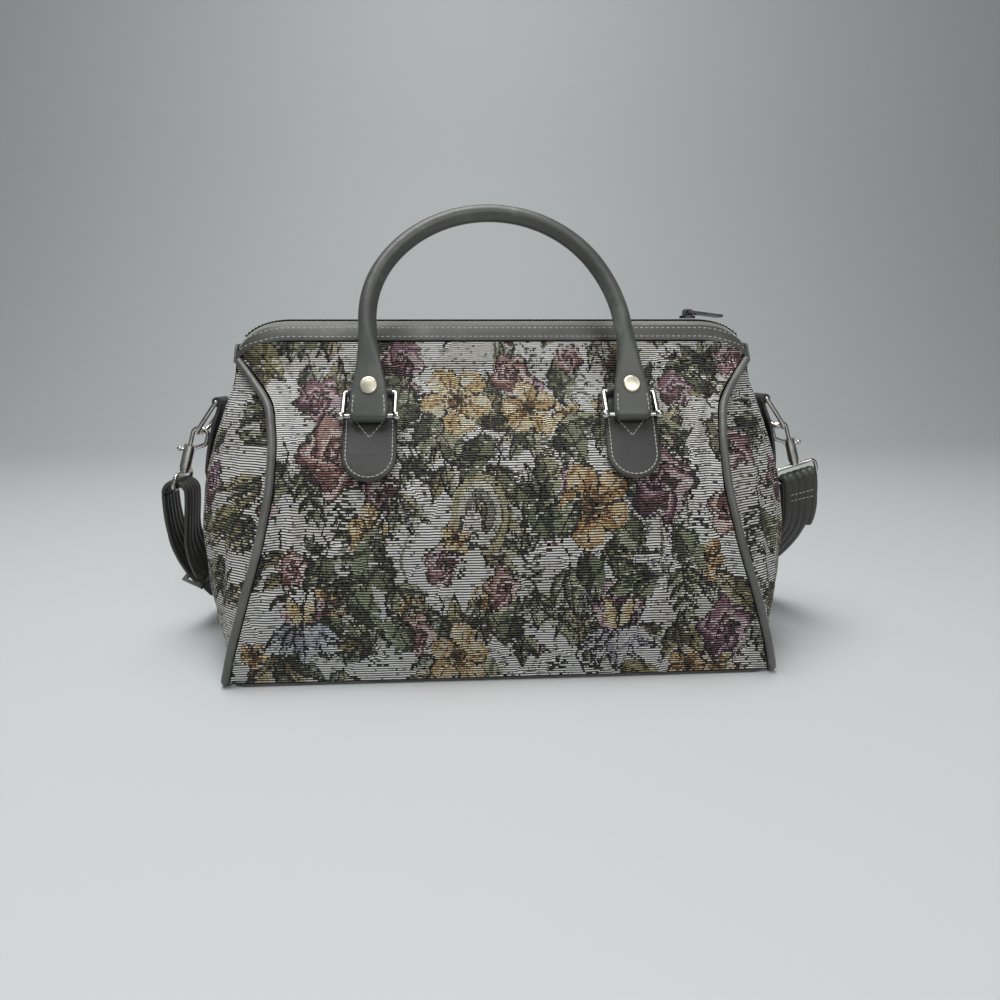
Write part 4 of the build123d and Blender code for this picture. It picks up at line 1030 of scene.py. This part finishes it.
def handleSection(mark):  # width, front, back and squareness at a distance above the pin
    width = float(np.interp(mark / mm, flareMarks, flareWidths)) * mm
    thicken = easing(mark, 24 * mm, 58 * mm)
    front = handle["tabFront"] + (tubeOut + grip - handle["tabFront"]) * thicken
    back = handle["tabBack"] + (tubeOut - grip - handle["tabBack"]) * thicken
    if mark < 6 * mm:
        wrapped = (max(0.0, handle["wrap"] ** 2 - min(mark, 0) ** 2)) ** 0.5
        back = -wrapped + (handle["tabBack"] + wrapped) * easing(mark, 0, 6 * mm)
        front = min(front, wrapped) if mark < 0 else front
        width = width - 3 * mm * easing(-mark, 0.5 * mm, 4 * mm)
    return width, front, back, 6 - 4 * thicken


# both legs are drawn outwards from the middle, so that each point follows on round the arch
loops = []
rolled = (2 * grip, tubeOut + grip, tubeOut - grip, 2)
for side, marksHere in ((1, legMarks), (0, archMarks), (-1, legMarks[::-1])):
    for mark in marksHere:
        width, front, back, power = handleSection(mark) if side else rolled
        a, b = ovalRing(width, front - back, power, 40)
        shown = easing(mark, 50 * mm, 60 * mm) if side else 1
        a = a - handle["seam"] * np.exp(-((a + width / 2) / (0.6 * mm)) ** 2) * shown
        b = b + (front + back) / 2
        if side:
            loops.append(handlePlace(side * (handle["legX"] + a), a * 0 + mark, b))
        else:
            ring = handle["legX"] + a
            loops.append(handlePlace(ring * cos(mark), archBase + ring * sin(mark), b))
frontHandle = skinPiece("frontHandle", loops)
finish(frontHandle, handleLeather, "front_handle", "handle_leather", "front_handle")
handlePin = Matrix.Translation((0, -handle["pin"].y, handle["pin"].z))
hanging = handlePin @ Matrix.Rotation(-handle["fall"], 4, "X") @ handlePin.inverted()


def fallen(obj, name):  # the same piece of the back handle, which hangs behind the bag
    twin = mirrored(obj, name, 1)
    twin.data.transform(hanging)
    return twin


backHandle = fallen(frontHandle, "backHandle")
finish(backHandle, handleLeather, "back_handle", "handle_leather", "back_handle")

cap = started("rivetCap", bpy.ops.mesh.primitive_uv_sphere_add, segments=36, ring_count=20, radius=1)
capPoints = np.array([v.co for v in cap.data.vertices])
far = np.hypot(capPoints[:, 0], capPoints[:, 1])
rimLift = 0.12 * np.exp(-((far - 0.86) / 0.07) ** 2)
domed = np.abs(capPoints[:, 2]) ** 0.45 * 0.82 + rimLift
capPoints[:, 2] = np.where(capPoints[:, 2] > 0, domed, capPoints[:, 2] * 0.12)
setPoints(cap, capPoints * (handle["rivetRadius"], handle["rivetRadius"], handle["rivetHeight"]))
places = []
for side in (-1, 1):
    spot = handlePlace(side * handle["legX"], handle["rivetRise"], handle["tabFront"] - 0.05 * mm)
    places.append(placeMatrix(spot, (1, 0, 0), handleOut))
    for edge in (-1, 1):
        line = []
        for mark in np.linspace(1, 13, 10) * mm:
            width, front, _, _ = handleSection(mark)
            across = side * handle["legX"] + edge * (width / 2 - handle["stitchInset"])
            line.append(handlePlace(across, mark, front - 0.12 * mm))
        name = f"HandleStitches{side + 1}{edge + 1}"
        row = stitchRow("front" + name, line, handleOut, "front_handle", "handle_leather", 2.7 * mm)
        finish(fallen(row, "back" + name), stitchThread, "back_handle", "handle_leather", angle=180)
frontRivets = copies("frontRivets", cap, places)
finish(frontRivets, rivetNickel, "front_handle", "rivet_cap", "front_handle_rivets", angle=180)
backRivets = fallen(frontRivets, "backRivets")
finish(backRivets, rivetNickel, "back_handle", "rivet_cap", "back_handle_rivets", angle=180)
print("handles")

# ---- chapes that hold the rings

chape = dict(
    width=34 * mm, length=60 * mm, thick=3 * mm, neckHalf=13.9 * mm, neckLow=7 * mm, loopRadius=3.45 * mm,
    stitchInset=2.6 * mm,
)
chapeTop, chapeLow = 178 * mm, 118 * mm


def straightFace(x, z):  # the construction's front face, which the chape is set against
    seamAt, seamDepth, middle = (np.interp(z, straightRows[:, 0], straightRows[:, k]) for k in (1, 2, 3))
    return middle - (middle - seamDepth) * (x / seamAt) ** 2


loopAxis = np.array((handle["legX"], -50.7145 * mm, 182.841 * mm))
chapeUpper = np.array((0, -straightFace(handle["legX"], chapeTop), chapeTop))
chapeLower = np.array((0, -straightFace(handle["legX"], chapeLow), chapeLow))
chapeDown = (chapeLower - chapeUpper) / np.linalg.norm(chapeLower - chapeUpper)
chapeOut = np.array((0, chapeDown[2], -chapeDown[1]))
chapeOrigin = loopAxis - chapeOut * 3.4 * mm


def chapeHalf(down):
    roundStart = chape["length"] - chape["width"] / 2
    if down > roundStart:
        return (max(0.0, (chape["width"] / 2) ** 2 - (down - roundStart) ** 2)) ** 0.5
    widening = easing(down, chape["neckLow"] - 1 * mm, chape["neckLow"] + 3 * mm)
    return chape["neckHalf"] + (chape["width"] / 2 - chape["neckHalf"]) * widening


def patchLoops(origin, acrossWay, downWay, outWay, marksHere, halfAt, thickAt):
    loops = []
    for down in marksHere:
        half = max(halfAt(down), 0.05 * mm)
        thick = thickAt(down)
        a, b = ovalRing(2 * half, thick, min(4.5, 2 + 2.5 * half / (8 * mm)), 44)
        loops.append(origin + spread(a, acrossWay) + downWay * down + spread(b + thick / 2, outWay))
    return loops


downMarks = np.concatenate([np.linspace(-1, 42, 30), 43 + 17 * np.sin(np.linspace(0.05, pi / 2, 16))]) * mm
xWay = np.array((1.0, 0, 0))


def chapeThick(down):  # thinner at its tip, thicker where it folds back
    folded = 0.5 * mm * easing(-down, -16 * mm, -2 * mm)
    return chape["thick"] * (1 - 0.35 * easing(down, 56 * mm, 60 * mm)) + folded


def tabThick(down):
    return tab["thick"] * (1 - 0.3 * easing(down, 50 * mm, 56 * mm))


chapeLoops = patchLoops(chapeOrigin, xWay, chapeDown, chapeOut, downMarks, chapeHalf, chapeThick)
chapeBody = skinPiece("chapeBody", chapeLoops)
loopLine = loopAxis + spread(np.linspace(-1, 1, 12) * chape["neckHalf"], xWay)
foldTube = skinPiece("chapeFold", tubeLoops(loopLine, chape["loopRadius"], 28, (0, 0, 1)))
joined("chapeBody", chapeBody, foldTube)

# a square ring whose ends meet on a pin with ball ends
ring = dict(
    half=16.2 * mm, wire=1.9 * mm, corner=5 * mm, step=0.5 * mm, pinWire=1.6 * mm, pinHalf=17.5 * mm,
    ball=3.0 * mm, ballOut=17.3 * mm,
)
toPin = (0, handle["pin"].y - loopAxis[1], handle["pin"].z - loopAxis[2])
corners = np.array([(-ring["half"], 1.06), (-ring["half"], 0), (ring["half"], 0), (ring["half"], 1.06)])
bends = loopAxis + spread(corners[:, 0], (1, 0, 0)) + spread(corners[:, 1], toPin)
marks = lengthsAlong(bends)
ringLine = evened(pointsAt(np.arange(0, marks[-1], ring["step"]), marks, bends), ring["step"], ring["corner"])
ringBody = skinPiece("ringBody", tubeLoops(ringLine, ring["wire"], 18, (0, 1, -1)))
pinMiddle = np.array((handle["legX"], handle["pin"].y, handle["pin"].z))
pinLine = pinMiddle + spread(np.linspace(-1, 1, 12) * ring["pinHalf"], (1, 0, 0))
pinBar = skinPiece("pinBar", tubeLoops(pinLine, ring["pinWire"], 16, (0, 0, 1)))
addSphere = bpy.ops.mesh.primitive_uv_sphere_add
ball = started("pinBall", addSphere, segments=24, ring_count=16, radius=ring["ball"])
ballPlaces = [Matrix.Translation(pinMiddle + (side * ring["ballOut"], 0, 0)) for side in (-1, 1)]
pinBody = joined("pinBody", pinBar, copies("pinEnds", ball, ballPlaces))
bpy.data.objects.remove(ball)


def chapeSpot(across, down):
    face = chapeOrigin + chapeOut * (chape["thick"] - 0.05 * mm)
    return face + spread(across, xWay) + spread(down, chapeDown)


borderDown = np.linspace(10, 43, 14) * mm
borderHalf = chape["width"] / 2 - chape["stitchInset"]
turns = np.linspace(0, pi, 22)
borderAcross = np.concatenate([np.full(14, borderHalf), borderHalf * np.cos(turns), np.full(14, -borderHalf)])
borderAlong = np.concatenate([borderDown, 43 * mm + borderHalf * np.sin(turns), borderDown[::-1]])
border = chapeSpot(borderAcross, borderAlong)
vee = chapeSpot(np.array([-12.5, 0, 12.5]) * mm, np.array([15, 31, 15]) * mm)
for end, flip in (("front", 1), ("back", -1)):
    for side, turn in (("right", 1), ("left", -1)):
        name = f"{end}{side.capitalize()}Chape"
        for pattern, made, material, slot, node in (
            (chapeBody, name, patchLeather, "patch_leather", "chape"),
            (ringBody, name.replace("Chape", "Ring"), nickel, "nickel", "ring"),
            (pinBody, name.replace("Chape", "Pin"), nickel, "nickel", "pin"),
        ):
            piece = placed(pattern, made, Matrix.Diagonal((turn, flip, 1, 1)))
            finish(piece, material, "root", slot, f"{end}_{side}_{node}", angle=60)
        across = np.array((turn, flip, 1))
        stitchRow(name + "Border", border * across, chapeOut * across, "root", "patch_leather", 2.8 * mm)
        for index in (0, 1):
            leg = vee[index:index + 2] * across
            stitchRow(f"{name}Vee{index}", leg, chapeOut * across, "root", "patch_leather", 2.6 * mm)
for pattern in (chapeBody, ringBody, pinBody):
    bpy.data.objects.remove(pattern)
print("chapes")

# ---- end tabs for the strap's dees

tab = dict(top=174 * mm, length=56 * mm, thick=3 * mm, fold=3.4 * mm, foldHalf=9.4 * mm, stitchInset=2.4 * mm)
domeTop, domeLow = np.interp((tab["top"], tab["top"] - tab["length"]), straightRows[:, 0], straightRows[:, 4])
tabDown = np.array((domeLow - domeTop, 0, -tab["length"]))
tabDown /= np.linalg.norm(tabDown)
tabOut = np.array((-tabDown[2], 0, tabDown[0]))
deeAxis = np.array((193.107, 0, 175.317)) * mm
tabOrigin = deeAxis - tabOut * 3.3 * mm
tabShape = mm * np.array([
    (-1, 9.4), (5, 9.4), (14, 12.3), (24, 12.4), (36, 10.2), (46, 6.6), (52, 3.6), (56, 0.3),
])
yWay = np.array((0, 1.0, 0))


def tabHalf(down):
    return float(np.interp(down, tabShape[:, 0], tabShape[:, 1]))


tabMarks = np.concatenate([np.linspace(-1, 50, 36), np.linspace(50.5, 55.9, 10)]) * mm
rightTab = skinPiece("rightTab", patchLoops(tabOrigin, yWay, tabDown, tabOut, tabMarks, tabHalf, tabThick))
foldLine = deeAxis + spread(np.linspace(-1, 1, 10) * tab["foldHalf"], yWay)
tabFold = skinPiece("tabFold", tubeLoops(foldLine, tab["fold"], 26, (0, 0, 1)))
joined("rightTab", rightTab, tabFold)
finishBoth(rightTab, patchLeather, "patch_leather", "right_strap_tab")
edgeMarks = np.linspace(8, 49, 24) * mm
for edge in (-1, 1):
    across = np.array([edge * (tabHalf(m) - tab["stitchInset"]) for m in edgeMarks])
    line = tabOrigin + spread(across, yWay) + spread(edgeMarks, tabDown)
    line = line + tabOut * (tab["thick"] - 0.15 * mm)
    stitchBoth(f"rightTabStitches{edge + 1}", line, tabOut, "patch_leather", pitch=2.8 * mm)
print("end tabs")

# ---- shoulder strap

strap = dict(
    width=26 * mm, thick=4.3 * mm, ribs=5, ribHeight=0.8 * mm, lineStep=3 * mm,
    tail=96 * mm, loop=7.75 * mm, tailGap=7.7 * mm, flap=38 * mm, tightLoop=4.1 * mm, flapGap=4.8 * mm,
)
rightBar = Vector((225.98, 0, 115.64)) * mm
leftLoop = Vector((-225.98, 0, 111.99)) * mm
hookDown = Vector((0.292372, 0, -0.956305))
hookIn = (-0.956305, 0, -0.292372)
strapRoute = [  # millimetres, and the way its width faces
    ((-233.73, 0, 111.99), (0, 1, 0)), ((-235, 2, 86), (0.05, 1, 0)),
    ((-229, 15, 60), (0.35, 0.93, 0.3)), ((-222, 42, 34), (0.75, 0.6, 0.4)),
    ((-215, 80, 13), (1, 0.2, 0.25)), ((-200, 122, 3.4), (1, -0.3, 0.05)),
    ((-168, 160, 2.6), (0.7, -0.7, 0)), ((-122, 188, 2.6), (0.45, -0.9, 0)),
    ((-62, 206, 2.6), (0.2, -1, 0)), ((4, 212, 2.6), (0, -1, 0)), ((68, 205, 2.6), (-0.2, -1, 0)),
    ((126, 184, 2.6), (-0.45, -0.9, 0)), ((172, 154, 2.6), (-0.7, -0.7, 0)),
    ((201, 118, 4), (-0.95, -0.4, 0.05)), ((215, 80, 16), (-1, -0.2, 0.1)),
    ((225, 49, 38), (-1, -0.1, 0.1)), ((231, 24, 64), (-1, -0.05, 0)),
    ((232.99, 5.1, 92.69), hookIn), ((225.98, 4.1, 115.64), hookIn),
]
curve = bpy.data.curves.new("strapLine", "CURVE")
curve.dimensions = "3D"
spline = curve.splines.new("NURBS")
spline.points.add(len(strapRoute) - 1)
for point, (place, _) in zip(spline.points, strapRoute):
    point.co = (*[c * mm for c in place], 1)
spline.order_u = 3
spline.use_endpoint_u = True
spline.resolution_u = 12
lineObject = bpy.data.objects.new("strapLine", curve)
bpy.context.scene.collection.objects.link(lineObject)
bpy.context.view_layer.update()
lineMesh = bpy.data.meshes.new_from_object(lineObject)
strapLine = np.array([v.co for v in lineMesh.vertices])
bpy.data.objects.remove(lineObject)
places = np.array([place for place, _ in strapRoute]) * mm
placeShares = lengthsAlong(places)
placeShares /= placeShares[-1]
widthWays = np.array([np.array(way) / np.linalg.norm(way) for _, way in strapRoute])
lineMarks = lengthsAlong(strapLine)
strapLength = float(lineMarks[-1])


def strapFrame(marksHere):  # place, width way and thickness way along the run
    here, ahead, behind = (pointsAt(marksHere + step, lineMarks, strapLine) for step in (0, 2 * mm, -2 * mm))
    along = ahead - behind
    along /= np.linalg.norm(along, axis=1)[:, None]
    across = pointsAt(marksHere / strapLength, placeShares, widthWays)
    across = across - along * (across * along).sum(1)[:, None]
    across /= np.linalg.norm(across, axis=1)[:, None]
    return here, across, np.cross(along, across)


def strapLoops(here, across, thick):
    share = np.sin(np.linspace(-1, 1, 62) * pi / 2 * 0.98)
    share = share / share[-1] * 0.6 + np.linspace(-1, 1, 62) * 0.4
    rib = np.abs(np.cos(share * pi / 2 * strap["ribs"])) ** 0.5
    half = (strap["thick"] / 2 - strap["ribHeight"] * (1 - rib) * np.clip((1 - np.abs(share)) * 8, 0, 1))
    half = half * (1 - np.abs(share) ** 8 * 0.9) ** 0.5
    a = np.concatenate([share, share[::-1]]) * strap["width"] / 2
    b = np.concatenate([half, -half[::-1]])
    return here[:, None] + across[:, None] * a[None, :, None] + thick[:, None] * b[None, :, None]


runMarks = np.linspace(0, strapLength, round(strapLength / strap["lineStep"]))
here, across, thick = strapFrame(runMarks)
strapRun = skinPiece("strapRun", strapLoops(here, across, -thick))
finish(strapRun, strapLeather, "root", "strap_leather", "shoulder_strap")


def foldedStrap(name, *parts):  # each part: its places, width ways and thickness ways
    loops = strapLoops(*(np.concatenate(column) for column in zip(*parts)))
    return finish(skinPiece(name, loops), strapLeather, "root", "strap_leather")


tailMarks = np.linspace(strap["tail"], 0, 34)
here, across, thick = strapFrame(tailMarks)
close = easing(tailMarks, 0, 58 * mm)
offset = 2 * strap["loop"] + (strap["tailGap"] - 2 * strap["loop"]) * close
turns = np.linspace(0, pi, 22)[1:]
ways = np.stack([np.cos(turns), turns * 0, np.sin(turns)], 1)
bend = (np.array(leftLoop) + ways * strap["loop"], np.tile((0, 1.0, 0), (len(turns), 1)), ways)
strapTail = foldedStrap("strapTail", (here + thick * offset[:, None], across, thick), bend)

turns = np.linspace(0, pi, 18)[:-1]
ways = np.stack([turns * 0, np.cos(turns), turns * 0], 1) + spread(np.sin(turns), -np.array(hookDown))
bend = (np.array(rightBar) + ways * strap["tightLoop"], np.tile(hookIn, (len(turns), 1)), ways)
flapMarks = np.linspace(0, strap["flap"], 16)
here, across, thick = strapFrame(strapLength - flapMarks)
offset = 2 * strap["tightLoop"] + (strap["flapGap"] - 2 * strap["tightLoop"]) * ramp(flapMarks, 15 * mm)
strapFlap = foldedStrap("strapFlap", bend, (here + thick * offset[:, None], across, thick))
flapCentre = here + thick * (offset + strap["thick"] / 2 + 0.1 * mm)[:, None]
for index, mark in enumerate((8, 13)):
    spot = np.searchsorted(flapMarks, mark * mm)
    row = flapCentre[spot] + spread(np.linspace(-9, 9, 8) * mm, across[spot])
    stitchRow(f"flapStitches{index}", row, thick[spot], "root", "strap_leather", 2.8 * mm)
print("strap", round(strapLength, 4))

# ---- metal and the board keep the construction's shape

boardFinish = Finish("baseBoard")
boardFinish.colour(boardFinish.mix(boardFinish.noise(500), linear(30, 30, 30), linear(46, 46, 44)))
boardFinish.rough(boardFinish.grey(boardFinish.noise(200), 0.5, 0.75))
kept = {
    "base_board": boardFinish.material, "zip_slider": zipMetal, "zip_pull": zipMetal, "strap_slide": nickel,
}
for side in ("left", "right"):
    for part in ("dee", "hook", "trigger", "swivel_eye"):
        kept[f"{side}_{part}"] = nickel
for node, material in kept.items():
    for slot in nodes[node].material_slots:
        slot.material = material
for pattern in (stitch, tooth, cap):
    bpy.data.objects.remove(pattern)

# ---- floor, light and camera

studio = dict(floorNear=-2.5, floorFar=1.1, wallHigh=2.4, halfWide=30.0, sweep=0.9)
floor, u, v = gridPiece("floorSweep", 8, 60)
flat = studio["floorFar"] - studio["floorNear"]
bend = studio["sweep"] * pi / 2
total = flat + bend + studio["wallHigh"]
s = v * total
turn = np.clip((s - flat) / studio["sweep"], 0, pi / 2)
y = studio["floorNear"] + np.minimum(s, flat) + studio["sweep"] * np.sin(turn)
z = studio["sweep"] * (1 - np.cos(turn)) + np.clip(s - flat - bend, 0, None)
setPoints(floor, np.stack([(u - 0.5) * 2 * studio["halfWide"], y, z], 1))
floorPaint = Finish("paleFloor")
floorPaint.set(Base_Color=linear(198, 201, 201), Roughness=0.6)
floor.data.materials.append(floorPaint.material)
active(floor)
bpy.ops.object.shade_smooth_by_angle(angle=pi)


def softLight(name, spot, target, size, power):
    bpy.ops.object.light_add(type="AREA", location=spot)
    lamp = bpy.context.active_object
    lamp.name = name
    lamp.data.shape = "DISK"
    lamp.data.size, lamp.data.energy = size, power
    lamp.rotation_euler = (Vector(target) - Vector(spot)).to_track_quat("-Z", "Y").to_euler()


softLight("topLight", (-0.25, -0.20, 1.7), (0, 0, 0.1), 1.2, 25)
softLight("frontFill", (0.5, -1.7, 1.1), (0, 0, 0.12), 1.2, 11.5)
softLight("wallWash", (0, 0.7, 2.2), (0, 2.0, 0.9), 1.0, 9)
world = bpy.data.worlds.new("studioAir")
world.use_nodes = True
world.node_tree.nodes["Background"].inputs["Color"].default_value = linear(186, 188, 192)
world.node_tree.nodes["Background"].inputs["Strength"].default_value = 0.33
bpy.context.scene.world = world
bpy.context.scene.view_settings.view_transform = "Standard"

view = dict(
    place=(-27 * mm, -505 * mm, 203 * mm), lens=25.2,
    down=radians(11.3), roll=radians(0.2), turn=radians(-3.35),
)
tilt = (pi / 2 - view["down"], view["roll"], view["turn"])
bpy.ops.object.camera_add(location=view["place"], rotation=tilt)
camera = bpy.context.active_object
camera.data.lens = view["lens"]
camera.data.sensor_width = 36
camera.data.clip_start = 0.01
bpy.context.scene.camera = camera
